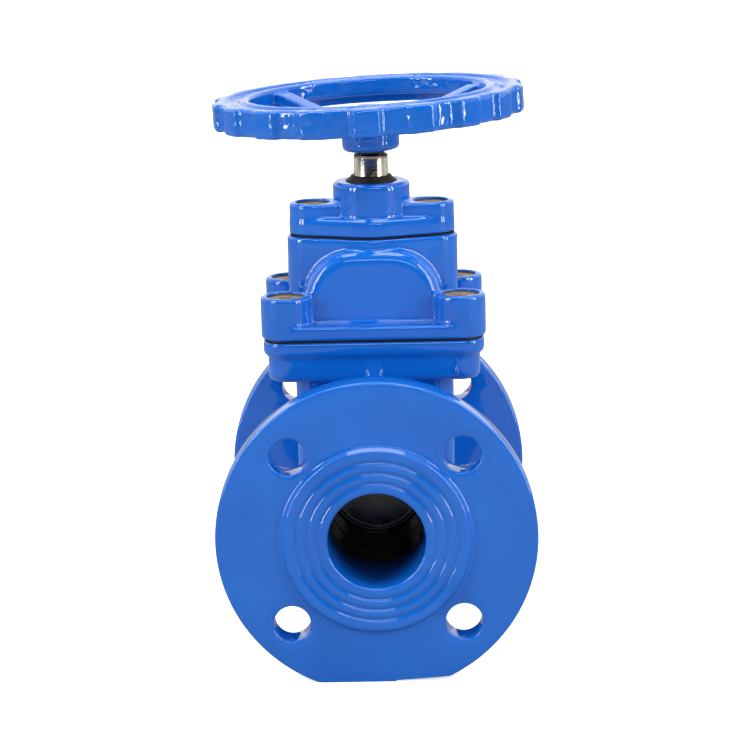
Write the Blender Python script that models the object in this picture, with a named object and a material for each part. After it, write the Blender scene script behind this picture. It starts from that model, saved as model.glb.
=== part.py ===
"""Resilient-seated gate valve, DN 50, flanged, with a non-rising stem and a handwheel.

Lengths are in metres. The flat feet of the flanges stand on z = 0, the bore runs along Y with the inlet
at -Y, and the stem stands along +Z. The gate is modelled closed. Turning the stem by +Z opens it.
"""

import math

import bmesh
import bpy
from mathutils import Matrix, Vector

MM = 0.001
GAP = 0.3 * MM  # clearance between pieces that touch on the real valve

# Bore, flanges and feet
PIPE_Z = 76 * MM
FACE_Y = 89 * MM
BORE_R = 25 * MM
PIPE_R = 34 * MM
FLANGE_R = 82.5 * MM
FLANGE_BACK_Y = 70 * MM
RAISED_R = 49 * MM
RAISED_H = 3 * MM
BOLT_CIRCLE_R = 62.5 * MM
BOLT_HOLE_R = 9.5 * MM

# Body chamber and the flange under the bonnet
CHAMBER_R = 41.8 * MM
CHAMBER_HALF_Y = 27.5 * MM
CHAMBER_EDGE_R = 10 * MM
BODY_TOP_Z = 168.8 * MM
BODY_LIP_Z = 161.3 * MM
BODY_FLANGE_Z = 147 * MM
SCREW_X, SCREW_Y = 45.6 * MM, 27.3 * MM
RIB_HALF_W = 3.5 * MM
RIB_FOOT_Y, RIB_FOOT_Z = 58 * MM, (96 * MM, 106 * MM)  # where the rib dies into the pipe
RIB_HOLLOW = (46 * MM, 128 * MM)  # (y, z) of the rib's inward bend
RIB_TOP_Y, RIB_TOP_Z = 39.5 * MM, (149 * MM, 158 * MM)
PIPE_FILLET = 8 * MM

# Hollow in which the wedge travels
CAVITY_R = 31.5 * MM
CAVITY_HALF_Y = 16.5 * MM  # at the pipe axis
CAVITY_TOP_HALF_Y = 20.5 * MM  # at the body's top face
CAVITY_TOP_Z = 203 * MM
GUIDE_X = 36.5 * MM
GUIDE_HALF_Y = 5.5 * MM
GUIDE_BOTTOM_Z, GUIDE_TOP_Z = 72 * MM, 190 * MM

# Bonnet
GASKET_T = 1.1 * MM
BONNET_Z = BODY_TOP_Z + GASKET_T + 2 * GAP
BONNET_FLANGE_TOP_Z = 177.5 * MM
BOSS_R = 13.3 * MM
BOSS_TOP_Z = 192.4 * MM
COUNTERBORE_R = 9.9 * MM
COUNTERBORE_Z = 178 * MM
BULGE_HALF_X = 35.8 * MM
BULGE_HALF_Y = 27.5 * MM
BULGE_TOP_Z = 214.6 * MM
BULGE_ARCH_R = 27 * MM
BULGE_TRACE_R = 12 * MM  # circles that trace the arch
BLOCK_END_X, BLOCK_END_R, BLOCK_MID_R = 32.2 * MM, 13 * MM, 23.5 * MM
BLOCK_TOP_Z = 219.7 * MM
COLLAR_BORE_R = 18.3 * MM
COLLAR_BORE_Z = 209.3 * MM

# Gland cover
GLAND_GASKET_T = 0.6 * MM
GLAND_Z = BLOCK_TOP_Z + GLAND_GASKET_T + 2 * GAP
GLAND_PLATE_TOP_Z = 230 * MM
GLAND_BAR_TOP_Z = 237.3 * MM
GLAND_TOP_Z = 248.2 * MM
GLAND_BOSS_R = 20.4 * MM
GLAND_SCREW_X = 31.1 * MM
GLAND_COUNTERBORE_R = 9.2 * MM
GLAND_COUNTERBORE_Z = 226 * MM
SPIGOT_R = 18 * MM
SPIGOT_Z = 218.7 * MM
BUSH_BORE_R = 14.3 * MM
BUSH_TOP_Z = 241.8 * MM
WIPER_RECESS_R, WIPER_RECESS_Z = 13.5 * MM, 245.2 * MM

# Stem and its bearings
SEAL_Z = (224 * MM, 236 * MM)  # rings between the stem and its bush
OUTER_SEAL_Z = 230 * MM  # ring between the bush and the gland cover
SEAL_CORD_R = 1.1 * MM
SEAL_GROOVE_HALF = 1.5 * MM
STEM_R = 9 * MM
STEM_HOLE_R = STEM_R + GAP
STEM_BOTTOM_Z = 108 * MM
STEM_THREAD_TOP_Z = 188 * MM
STEM_CORE_R = 6.9 * MM
THREAD_PITCH = 4 * MM
COLLAR_R = 16.8 * MM
COLLAR_Z = (211.5 * MM, 216.5 * MM)
SQUARE_Z = 262.6 * MM
SQUARE_HALF = 7 * MM
SQUARE_CORNER_R = 8.7 * MM
STEM_TOP_Z = 277.5 * MM
WIPER_TOP_Z = 251.2 * MM

# Wedge, its rubber, nut and guide shoes
WEDGE_R = 27.5 * MM
WEDGE_TOP_Z = 108 * MM
RUBBER_R = 30.9 * MM
RUBBER_TOP_Z = 106 * MM
RUBBER_T = 2.8 * MM
NUT_HOUSE = (15 * MM, 12.5 * MM, 132 * MM)  # half width, half depth, top
NUT_HALF_X, NUT_HALF_Y = 11.2 * MM, 11 * MM
NUT_Z = (113.3 * MM, 127.3 * MM)
LUG_X, LUG_HALF_Y = 34.5 * MM, 3.5 * MM
LUG_Z = (78 * MM, 126 * MM)
SHOE_X = (31.8 * MM, 36.2 * MM)
SHOE_HALF_Y = 5.2 * MM

# Socket-head screws, M8
SCREW_R = 3.9 * MM
TAPPED_R = SCREW_R + GAP
CLEARANCE_R = 4.5 * MM
HEAD_R = 6.5 * MM
SOCKET_R, SOCKET_DEPTH = 3.5 * MM, 4 * MM
HEAD_H = 7.5 * MM
BONNET_SCREW_TIP_Z = 152 * MM
GLAND_SCREW_TIP_Z = 206 * MM
TAPPED_SPARE = 2.5 * MM

# Handwheel: it sits loosely on the square, so it hangs a little low on its -X side
WHEEL_TILT = math.radians(2.6)
WHEEL_PIVOT_Z = 272 * MM
RIM_Z = (280.5 * MM, 295.5 * MM)
RIM_OUTER_R, RIM_INNER_R = 81.6 * MM, 62 * MM
RIM_WEB_Z = 285.5 * MM  # underside of the rim inside its outer skirt
RIM_SKIRT_R = 71 * MM
LOBES = 18
LOBE_DEPTH = 2.6 * MM
LOBE_ANGLE, LOBE_CREST = math.radians(11.2), math.radians(8.1)  # at its foot and across its flat
LOBE_PHASE = math.radians(10)
RIM_CHANNEL_R = (66 * MM, 75 * MM)
RIM_CHANNEL_DEPTH = 1.2 * MM
HUB_R = 15.1 * MM
HUB_Z = (264.2 * MM, 279.5 * MM)
SPOKE_ANGLES = (math.radians(20), math.radians(140), math.radians(260))
SPOKE_HALF_W, SPOKE_T = 5.5 * MM, 7 * MM
WHEEL_WASHER_R, WHEEL_WASHER_T = 12 * MM, 1.8 * MM
WHEEL_BOLT_HEAD_Z = 282.4 * MM
WHEEL_BOLT_HEAD_H = 5.3 * MM
WHEEL_BOLT_HEAD_R = 7.4 * MM
WHEEL_BOLT_FLATS = 6.5 * MM  # from the axis to a flat
WHEEL_BOLT_TIP_Z = 262 * MM


# ---------------------------------------------------------------- shapes

def clear_scene():
    for obj in list(bpy.data.objects):
        bpy.data.objects.remove(obj)


def material(name, rgb, roughness, metallic=0.0):
    found = bpy.data.materials.new(name)
    found.use_nodes = True
    shader = found.node_tree.nodes["Principled BSDF"]
    shader.inputs["Base Color"].default_value = (*rgb, 1.0)
    shader.inputs["Roughness"].default_value = roughness
    shader.inputs["Metallic"].default_value = metallic
    found.diffuse_color = (*rgb, 1.0)
    return found


def add(name, bm, finish, origin=(0, 0, 0)):
    """Object of this mesh, drawn in world coordinates, with its origin at the point given."""
    bmesh.ops.remove_doubles(bm, verts=bm.verts, dist=1e-6)
    bmesh.ops.recalc_face_normals(bm, faces=bm.faces)
    bmesh.ops.translate(bm, verts=bm.verts, vec=-Vector(origin))
    mesh = bpy.data.meshes.new(name)
    bm.to_mesh(mesh)
    bm.free()
    mesh.shade_smooth()
    mesh.set_sharp_from_angle(angle=math.radians(30))
    obj = bpy.data.objects.new(name, mesh)
    obj.location = origin
    bpy.context.scene.collection.objects.link(obj)
    obj.data.materials.append(finish)
    return obj


def combine(obj, other, operation):
    """Boolean of the object with a helper mesh, which stays in the file as a wire that doesn't render."""
    modifier = obj.modifiers.new(other.name, "BOOLEAN")
    modifier.operation = operation
    modifier.object = other
    other.hide_render = True
    other.display_type = "WIRE"


def cut(obj, *cutters):
    for bm in cutters:
        combine(obj, add(f"{obj.name}_cutter", bm, obj.data.materials[0]), "DIFFERENCE")


def join(obj, *shapes):
    for bm in shapes:
        combine(obj, add(f"{obj.name}_shape", bm, obj.data.materials[0]), "UNION")


def turned(profile, segments=48):
    """Solid turned about Z from (radius, height) points, closed on itself or ending on the axis."""
    bm = bmesh.new()
    verts = [bm.verts.new((r, 0, z)) for r, z in profile]
    edges = [bm.edges.new(pair) for pair in zip(verts, verts[1:])]
    if profile[0][0] > 0:
        edges.append(bm.edges.new((verts[-1], verts[0])))
    bmesh.ops.spin(bm, geom=verts + edges, axis=(0, 0, 1), cent=(0, 0, 0),
                   angle=math.tau, steps=segments, use_merge=True)
    bmesh.ops.remove_doubles(bm, verts=bm.verts, dist=1e-7)
    bmesh.ops.recalc_face_normals(bm, faces=bm.faces)
    return bm


def rod(radius, low, high, x=0.0, y=0.0, segments=24):
    bm = turned([(0, low), (radius, low), (radius, high), (0, high)], segments)
    bmesh.ops.translate(bm, verts=bm.verts, vec=(x, y, 0))
    return bm


def ring(inner, outer, low, high, segments=48):
    return turned([(inner, low), (outer, low), (outer, high), (inner, high)], segments)


def stepped_hole(low, wide_r, floor, high, x, y):
    """Clearance hole of a screw with the wider counterbore of its head above the floor height."""
    bm = turned([(0, low), (CLEARANCE_R, low), (CLEARANCE_R, floor),
                 (wide_r, floor), (wide_r, high), (0, high)], 18)
    bmesh.ops.translate(bm, verts=bm.verts, vec=(x, y, 0))
    return bm


def box(x, y, z):
    """Box between the (low, high) pairs given for each axis."""
    bm = bmesh.new()
    bmesh.ops.create_cube(bm, size=1)
    spans = (x, y, z)
    bmesh.ops.scale(bm, verts=bm.verts, vec=[high - low for low, high in spans])
    bmesh.ops.translate(bm, verts=bm.verts, vec=[(high + low) / 2 for low, high in spans])
    return bm


def outline(circles, points=40):
    """Convex outline round circles (x, y, radius): the furthest point of them all in each direction."""
    found = []
    for i in range(points):
        angle = math.tau * (i + 0.5) / points
        way = Vector((math.cos(angle), math.sin(angle)))
        x, y, r = max(circles, key=lambda c: c[0] * way.x + c[1] * way.y + c[2])
        found.append((x + r * way.x, y + r * way.y))
    return found


def corners(x, y, radius):
    """Four circles at (+-x, +-y)."""
    return [(sx * x, sy * y, radius) for sx in (1, -1) for sy in (1, -1)]


def layered(sections, along="Z"):
    """Solid through (outline, height) sections with as many points each, capped at both ends."""
    bm = bmesh.new()
    rings = []
    for points, height in sections:
        rings.append([bm.verts.new((x, y, height)) for x, y in points])
    for low, high in zip(rings, rings[1:]):
        for i, vert in enumerate(low):
            j = (i + 1) % len(low)
            bm.faces.new((vert, low[j], high[j], high[i]))
    bm.faces.new(rings[0][::-1])
    bm.faces.new(rings[-1])
    if along == "Y":  # drawn in (x, z), stacked along Y
        bmesh.ops.transform(bm, verts=bm.verts, matrix=Matrix.Rotation(math.pi / 2, 4, "X"))
        bmesh.ops.scale(bm, verts=bm.verts, vec=(1, -1, 1))
    bmesh.ops.recalc_face_normals(bm, faces=bm.faces)
    return bm


def grown(circles, by):
    return [(x, y, r + by) for x, y, r in circles]


def rounded_steps(radius, steps=2):
    """(inset, rise) pairs of a quarter-round edge, from its outermost inset inwards."""
    for i in range(steps + 1):
        angle = math.pi / 2 * i / steps
        yield radius * (1 - math.sin(angle)), radius * (1 - math.cos(angle))


def pillow(circles, low, high, bottom_r, top_r, along="Z", points=40):
    """Prism round the circles with quarter-round lower and upper edges."""
    sections = []
    for inset, rise in rounded_steps(bottom_r):
        sections.append((outline(grown(circles, -inset), points), low + rise))
    for inset, rise in reversed(list(rounded_steps(top_r))):
        sections.append((outline(grown(circles, -inset), points), high - rise))
    return layered(sections, along)


def arch(radius, top_z, half_y, corner=2 * MM, points=40):
    """Slab round the pipe axis: round below, straight-sided up to the top height."""
    circles = [(0, PIPE_Z, radius)]
    circles += [(sx * (radius - corner), top_z - corner, corner) for sx in (1, -1)]
    return layered([(outline(circles, points), -half_y), (outline(circles, points), half_y)], "Y")


def lean(bm, half_y_at_pipe):
    """Tapers a slab of half depth 1 into the wedge shape of the cavity, less what is given at the pipe."""
    slope = (CAVITY_TOP_HALF_Y - CAVITY_HALF_Y) / (BODY_TOP_Z - PIPE_Z)
    for vert in bm.verts:
        side = 1 if vert.co.y > 0 else -1
        vert.co.y = side * (half_y_at_pipe + slope * (vert.co.z - PIPE_Z))
    bmesh.ops.triangulate(bm, faces=bm.faces)
    return bm


def along_y(bm):
    """Turns a shape made about Z so that it lies about the pipe axis, its low end at the inlet."""
    bmesh.ops.transform(bm, verts=bm.verts, matrix=Matrix.Rotation(-math.pi / 2, 4, "X"))
    bmesh.ops.translate(bm, verts=bm.verts, vec=(0, 0, PIPE_Z))
    return bm


# ---------------------------------------------------------------- body

def flanged_pipe():
    """Solid bar of the two flanges, with their raised faces, and the pipe between them."""
    edge = 1.2 * MM
    rim_y = FACE_Y - RAISED_H
    half = [(0, FACE_Y), (RAISED_R - edge, FACE_Y), (RAISED_R, FACE_Y - edge), (RAISED_R, rim_y)]
    half += [(FLANGE_R - edge, rim_y), (FLANGE_R, rim_y - edge)]
    half += [(FLANGE_R, FLANGE_BACK_Y + edge), (FLANGE_R - edge, FLANGE_BACK_Y)]
    for inset, rise in rounded_steps(PIPE_FILLET):
        half.append((PIPE_R + inset, FLANGE_BACK_Y - rise))
    whole = half + [(r, -y) for r, y in reversed(half)]
    return along_y(turned(whole, 44))


def flange_holes():
    reach = BOLT_CIRCLE_R * math.sqrt(0.5)
    back = FLANGE_BACK_Y - 4 * MM
    for x, z, _ in corners(reach, reach, 0):
        for low, high in ((back, FACE_Y + MM), (-FACE_Y - MM, -back)):
            yield along_y(rod(BOLT_HOLE_R, low, high, x, z, segments=20))


def body_rib(side):
    """Upright web between the top flange and the pipe, at the front or the rear."""
    root_y = CAVITY_HALF_Y - 4.5 * MM
    shape = ((root_y, RIB_TOP_Z[0]), (RIB_TOP_Y, RIB_TOP_Z[1]), (RIB_TOP_Y, RIB_TOP_Z[0]), RIB_HOLLOW,
             (RIB_FOOT_Y, RIB_FOOT_Z[1]), (RIB_FOOT_Y, RIB_FOOT_Z[0]), (root_y, RIB_FOOT_Z[0]))
    bm = bmesh.new()
    ends = [[bm.verts.new((x, side * y, z)) for y, z in shape] for x in (-RIB_HALF_W, RIB_HALF_W)]
    for i in range(len(shape)):
        j = (i + 1) % len(shape)
        bm.faces.new((ends[0][i], ends[0][j], ends[1][j], ends[1][i]))
    for end in ends:
        bm.faces.new(end)
    return bm


def body_top_flange():
    at = corners(SCREW_X, SCREW_Y, 0)
    lower, upper = 10 * MM, 12.4 * MM
    sections = [(lower - inset, BODY_FLANGE_Z + rise) for inset, rise in rounded_steps(4.5 * MM)]
    sections += [(lower + 0.3 * MM, BODY_LIP_Z - 2 * MM), (upper, BODY_LIP_Z + 1.5 * MM)]
    sections += [(upper, BODY_TOP_Z - 0.7 * MM), (upper - 0.7 * MM, BODY_TOP_Z)]
    return layered([(outline(grown(at, r)), z) for r, z in sections])


def guide_groove(side, low, high):
    across = sorted((side * (CAVITY_R - 3 * MM), side * GUIDE_X))
    return box(across, (-GUIDE_HALF_Y, GUIDE_HALF_Y), (low, high))


def make_body(paint):
    body = add("body", flanged_pipe(), paint)
    shoulder = CHAMBER_EDGE_R + 2 * MM
    circles = [(0, PIPE_Z, CHAMBER_R)]
    circles += [(sx * (CHAMBER_R - shoulder), BODY_FLANGE_Z + 4 * MM, shoulder) for sx in (1, -1)]
    join(body, pillow(circles, -CHAMBER_HALF_Y, CHAMBER_HALF_Y, CHAMBER_EDGE_R, CHAMBER_EDGE_R, "Y"))
    join(body, body_top_flange(), body_rib(1), body_rib(-1))
    cut(body, lean(arch(CAVITY_R, BODY_TOP_Z + 8 * MM, MM), CAVITY_HALF_Y))
    cut(body, along_y(rod(BORE_R, -FACE_Y - MM, FACE_Y + MM, segments=48)))
    for side in (1, -1):
        cut(body, guide_groove(side, GUIDE_BOTTOM_Z, BODY_TOP_Z + MM))
    cut(body, *flange_holes())
    for x, y, _ in corners(SCREW_X, SCREW_Y, 0):
        cut(body, rod(TAPPED_R, BONNET_SCREW_TIP_Z - TAPPED_SPARE, BODY_TOP_Z + MM, x, y, 12))
    foot = 2 * FLANGE_R
    cut(body, box((-foot, foot), (-foot, foot), (-foot, 0)))


def make_bonnet_gasket(rubber):
    low = BODY_TOP_Z + GAP
    at = outline(corners(SCREW_X, SCREW_Y, BOSS_R - 1.6 * MM))
    gasket = add("bonnet_gasket", layered([(at, low), (at, low + GASKET_T)]), rubber)
    inside = outline(corners(GUIDE_X - 8 * MM, CAVITY_TOP_HALF_Y - 7 * MM, 8.6 * MM))
    cut(gasket, layered([(inside, low - MM), (inside, low + GASKET_T + MM)]))
    for x, y, _ in corners(SCREW_X, SCREW_Y, 0):
        cut(gasket, rod(CLEARANCE_R, low - MM, low + GASKET_T + MM, x, y, 12))


# ---------------------------------------------------------------- bonnet and gland

def lozenge(end_x, end_r, mid_r):
    """Circles of a plate with two round ends on the X axis and a wider round middle."""
    return [(end_x, 0, end_r), (0, 0, mid_r), (-end_x, 0, end_r)]


def make_bonnet(paint):
    at = corners(SCREW_X, SCREW_Y, BOSS_R)
    bonnet = add("bonnet", pillow(at, BONNET_Z, BONNET_FLANGE_TOP_Z, 0.5 * MM, 1.5 * MM), paint)
    for x, y, r in at:
        boss = pillow([(x, y, r - 0.05 * MM)], BONNET_Z + 2 * MM, BOSS_TOP_Z, 0.5 * MM, 1.5 * MM, points=28)
        join(bonnet, boss)
    for side in (1, -1):
        web = box((-SCREW_X, SCREW_X), sorted((side * (SCREW_Y - 9 * MM), side * (SCREW_Y - MM))),
                  (BONNET_Z + 2 * MM, BOSS_TOP_Z - 2.5 * MM))
        join(bonnet, web)
    swing = BULGE_ARCH_R - BULGE_TRACE_R
    middle_x, middle_z = BULGE_HALF_X - BULGE_ARCH_R, BULGE_TOP_Z - BULGE_ARCH_R
    turns = [math.pi * i / 10 for i in range(6)]
    arch_circles = [(sx * (middle_x + swing * math.cos(a)), middle_z + swing * math.sin(a), BULGE_TRACE_R)
                    for sx in (1, -1) for a in turns]
    arch_circles += [(sx * (BULGE_HALF_X - 4 * MM), BONNET_Z + 7 * MM, 4 * MM) for sx in (1, -1)]
    join(bonnet, pillow(arch_circles, -BULGE_HALF_Y, BULGE_HALF_Y, 3.5 * MM, 3.5 * MM, "Y"))
    block = lozenge(BLOCK_END_X, BLOCK_END_R, BLOCK_MID_R)
    join(bonnet, pillow(block, BONNET_Z + 3 * MM, BLOCK_TOP_Z, 0.5 * MM, 1.2 * MM))

    top_r = 16 * MM
    hollow = [(sx * (CAVITY_R - top_r), CAVITY_TOP_Z - top_r, top_r) for sx in (1, -1)]
    hollow += [(sx * (CAVITY_R - 2 * MM), BODY_TOP_Z - 2 * MM, 2 * MM) for sx in (1, -1)]
    around = outline(hollow)
    cut(bonnet, layered([(around, -CAVITY_TOP_HALF_Y), (around, CAVITY_TOP_HALF_Y)], "Y"))
    for side in (1, -1):
        cut(bonnet, guide_groove(side, BONNET_Z - MM, GUIDE_TOP_Z))
        depth = GLAND_SCREW_TIP_Z - TAPPED_SPARE
        cut(bonnet, rod(TAPPED_R, depth, BLOCK_TOP_Z + MM, side * GLAND_SCREW_X, 0, 12))
    cut(bonnet, rod(STEM_HOLE_R + 0.1 * MM, CAVITY_TOP_Z - 4 * MM, BLOCK_TOP_Z + MM, segments=32))
    cut(bonnet, rod(COLLAR_BORE_R, COLLAR_BORE_Z, BLOCK_TOP_Z + MM, segments=40))
    for x, y, _ in at:
        cut(bonnet, stepped_hole(BONNET_Z - MM, COUNTERBORE_R, COUNTERBORE_Z, BOSS_TOP_Z + MM, x, y))


def make_gland_gasket(rubber):
    low = BLOCK_TOP_Z + GAP
    at = outline(lozenge(BLOCK_END_X, BLOCK_END_R - 1.6 * MM, BLOCK_MID_R - 1.6 * MM))
    gasket = add("gland_gasket", layered([(at, low), (at, low + GLAND_GASKET_T)]), rubber)
    cut(gasket, rod(COLLAR_BORE_R + 0.2 * MM, low - MM, low + 2 * MM, segments=40))
    for side in (1, -1):
        cut(gasket, rod(CLEARANCE_R, low - MM, low + 2 * MM, side * GLAND_SCREW_X, 0, 12))


def make_gland_cover(paint):
    plate = lozenge(GLAND_SCREW_X, BLOCK_END_R - 0.2 * MM, 23 * MM)
    cover = add("gland_cover", pillow(plate, GLAND_Z, GLAND_PLATE_TOP_Z, 0.5 * MM, 2.5 * MM), paint)
    bar = [(GLAND_SCREW_X, 0, 12.5 * MM), (-GLAND_SCREW_X, 0, 12.5 * MM)]
    join(cover, pillow([(0, 0, GLAND_BOSS_R)], GLAND_Z + 3 * MM, GLAND_TOP_Z, 0.5 * MM, 1.6 * MM))
    join(cover, pillow(bar, GLAND_Z + 2 * MM, GLAND_BAR_TOP_Z, 0.5 * MM, 1.2 * MM))
    join(cover, rod(SPIGOT_R, SPIGOT_Z, GLAND_Z + 2 * MM, segments=40))
    neck_r = STEM_HOLE_R + 1.2 * MM
    low, high = SPIGOT_Z - MM, GLAND_TOP_Z + MM
    cut(cover, turned([(0, low), (BUSH_BORE_R, low), (BUSH_BORE_R, BUSH_TOP_Z), (neck_r, BUSH_TOP_Z),
                       (neck_r, WIPER_RECESS_Z), (WIPER_RECESS_R, WIPER_RECESS_Z),
                       (WIPER_RECESS_R, high), (0, high)], 36))
    low, high = GLAND_Z - MM, GLAND_BAR_TOP_Z + MM
    for x in (GLAND_SCREW_X, -GLAND_SCREW_X):
        cut(cover, stepped_hole(low, GLAND_COUNTERBORE_R, GLAND_COUNTERBORE_Z, high, x, 0))


# ---------------------------------------------------------------- screws and their wax

def socket_screw(head_z, tip_z):
    """Socket-head cap screw about the Z axis."""
    top = head_z + HEAD_H
    return turned([(0, tip_z), (SCREW_R, tip_z + MM), (SCREW_R, head_z), (HEAD_R, head_z), (HEAD_R, top),
                   (SOCKET_R, top), (SOCKET_R, top - SOCKET_DEPTH), (0, top - SOCKET_DEPTH)], 18)


def wax_plug(radius, low, high):
    """Disc with a slightly dished top."""
    return turned([(0, low), (radius, low), (radius, high), (0, high - 0.4 * MM)], 24)


def copies(name, bm, finish, places):
    """One object for each place (x, y), all sharing the mesh."""
    first = add(f"{name}_1", bm, finish)
    first.location = (*places[0], 0)
    for i, place in enumerate(places[1:], 2):
        twin = bpy.data.objects.new(f"{name}_{i}", first.data)
        twin.location = (*place, 0)
        bpy.context.scene.collection.objects.link(twin)


def screws_and_plugs(name, floor, tip, bore_r, top, places, steel, wax):
    """A screw on the floor of each counterbore, and a wax plug filling it to just below the top."""
    head = floor + GAP
    copies(f"{name}_screw", socket_screw(head, tip), steel, places)
    plug = wax_plug(bore_r - GAP, head + HEAD_H + GAP, top - 0.4 * MM)
    copies(f"{name}_wax_plug", plug, wax, places)


def make_fasteners(steel, wax):
    places = [(x, y) for x, y, _ in corners(SCREW_X, SCREW_Y, 0)]
    screws_and_plugs("bonnet", COUNTERBORE_Z, BONNET_SCREW_TIP_Z, COUNTERBORE_R, BOSS_TOP_Z,
                     places, steel, wax)
    places = [(GLAND_SCREW_X, 0), (-GLAND_SCREW_X, 0)]
    screws_and_plugs("gland", GLAND_COUNTERBORE_Z, GLAND_SCREW_TIP_Z, GLAND_COUNTERBORE_R,
                     GLAND_BAR_TOP_Z, places, steel, wax)


# ---------------------------------------------------------------- stem and what seals it

def threaded_rod(low, high, segments=10):
    """Rod with a left-hand trapezoidal thread: each column of points climbs as the angle falls."""
    crest = STEM_R - 0.1 * MM
    pattern = ((STEM_CORE_R, 0.0), (STEM_CORE_R, 0.35), (crest, 0.5), (crest, 0.85))
    turns = round((high - low) / THREAD_PITCH)
    bm = bmesh.new()
    columns = []
    for i in range(segments):
        climb = i / segments
        x, y = math.cos(math.tau * climb), -math.sin(math.tau * climb)
        columns.append([bm.verts.new((r * x, r * y, low + THREAD_PITCH * (n + share + climb)))
                        for n in range(turns) for r, share in pattern])
    rise = len(pattern)
    for i, here in enumerate(columns):
        last = i == segments - 1
        there = columns[0][rise:] if last else columns[i + 1]
        for k in range(len(there) - 1):
            bm.faces.new((here[k], there[k], there[k + 1], here[k + 1]))
    rims = ([column[0] for column in columns] + columns[0][rise:0:-1],
            [column[-1] for column in columns] + columns[-1][-2:-rise - 1:-1])
    for rim in rims:
        middle = bm.verts.new((0, 0, sum(vert.co.z for vert in rim) / len(rim)))
        for k, vert in enumerate(rim):
            bm.faces.new((middle, vert, rim[(k + 1) % len(rim)]))
    bmesh.ops.recalc_face_normals(bm, faces=bm.faces)
    return bm


def square_end():
    """Square for the handwheel, its corners turned down to a cylinder."""
    half_angle = math.acos(SQUARE_HALF / SQUARE_CORNER_R)
    points = []
    for quarter in range(4):
        for i in range(4):
            angle = quarter * math.pi / 2 + half_angle + (math.pi / 2 - 2 * half_angle) * i / 3
            points.append((SQUARE_CORNER_R * math.cos(angle), SQUARE_CORNER_R * math.sin(angle)))
    return layered([(points, SQUARE_Z - 2 * MM), (points, STEM_TOP_Z)])


def make_stem(steel):
    low, high = COLLAR_Z
    start, chamfer, edge = STEM_THREAD_TOP_Z, 0.8 * MM, 0.4 * MM
    profile = [(0, start), (STEM_R - chamfer, start), (STEM_R, start + chamfer), (STEM_R, low),
               (COLLAR_R - edge, low), (COLLAR_R, low + edge), (COLLAR_R, high - edge),
               (COLLAR_R - edge, high), (STEM_R, high), (STEM_R, SQUARE_Z - edge),
               (STEM_R - edge, SQUARE_Z), (0, SQUARE_Z)]
    stem = add("stem", turned(profile, 32), steel)
    join(stem, threaded_rod(STEM_BOTTOM_Z, STEM_THREAD_TOP_Z + 3 * MM), square_end())
    cut(stem, rod(SCREW_R + GAP, WHEEL_BOLT_TIP_Z - 3 * MM, STEM_TOP_Z + MM, segments=20))


def make_stem_seals(plastic, rubber, bronze):
    washer_r = COLLAR_BORE_R - 0.5 * MM
    lower = (COLLAR_BORE_Z + GAP, COLLAR_Z[0] - GAP)
    upper = (COLLAR_Z[1] + GAP, SPIGOT_Z - GAP)
    add("thrust_washer_lower", ring(STEM_HOLE_R + GAP, washer_r, *lower, 32), bronze)
    add("thrust_washer_upper", ring(STEM_HOLE_R + GAP, washer_r, *upper, 32), bronze)

    inner, outer = STEM_HOLE_R, BUSH_BORE_R - GAP
    inner_ring_r, outer_ring_r = inner + 1.15 * MM, outer - 0.9 * MM
    groove_in = inner_ring_r + SEAL_CORD_R + 0.25 * MM
    groove_out = outer_ring_r - SEAL_CORD_R - 0.1 * MM
    half = SEAL_GROOVE_HALF
    low, high = SPIGOT_Z + 0.2 * MM, BUSH_TOP_Z - GAP
    profile = [(inner, low), (outer, low), (outer, OUTER_SEAL_Z - half), (groove_out, OUTER_SEAL_Z - half),
               (groove_out, OUTER_SEAL_Z + half), (outer, OUTER_SEAL_Z + half), (outer, high), (inner, high)]
    for seat in reversed(SEAL_Z):
        profile += [(inner, seat + half), (groove_in, seat + half)]
        profile += [(groove_in, seat - half), (inner, seat - half)]
    add("stem_bush", turned(profile, 26), plastic)
    rings = (("stem_o_ring_lower", inner_ring_r, SEAL_Z[0]), ("stem_o_ring_upper", inner_ring_r, SEAL_Z[1]),
             ("bush_o_ring", outer_ring_r, OUTER_SEAL_Z))
    for name, radius, height in rings:
        section = [(radius + SEAL_CORD_R * math.cos(a), height + SEAL_CORD_R * math.sin(a))
                   for a in (math.tau * i / 6 for i in range(6))]
        add(name, turned(section, 26), rubber)

    recess, seat = WIPER_RECESS_R - GAP, WIPER_RECESS_Z + GAP
    add("dust_wiper", turned([(STEM_HOLE_R, seat), (recess, seat), (recess, GLAND_TOP_Z + 0.4 * MM),
                              (recess - 0.5 * MM, GLAND_TOP_Z + MM), (STEM_HOLE_R + MM, WIPER_TOP_Z),
                              (STEM_HOLE_R, WIPER_TOP_Z)], 32), rubber)


# ---------------------------------------------------------------- wedge

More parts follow.
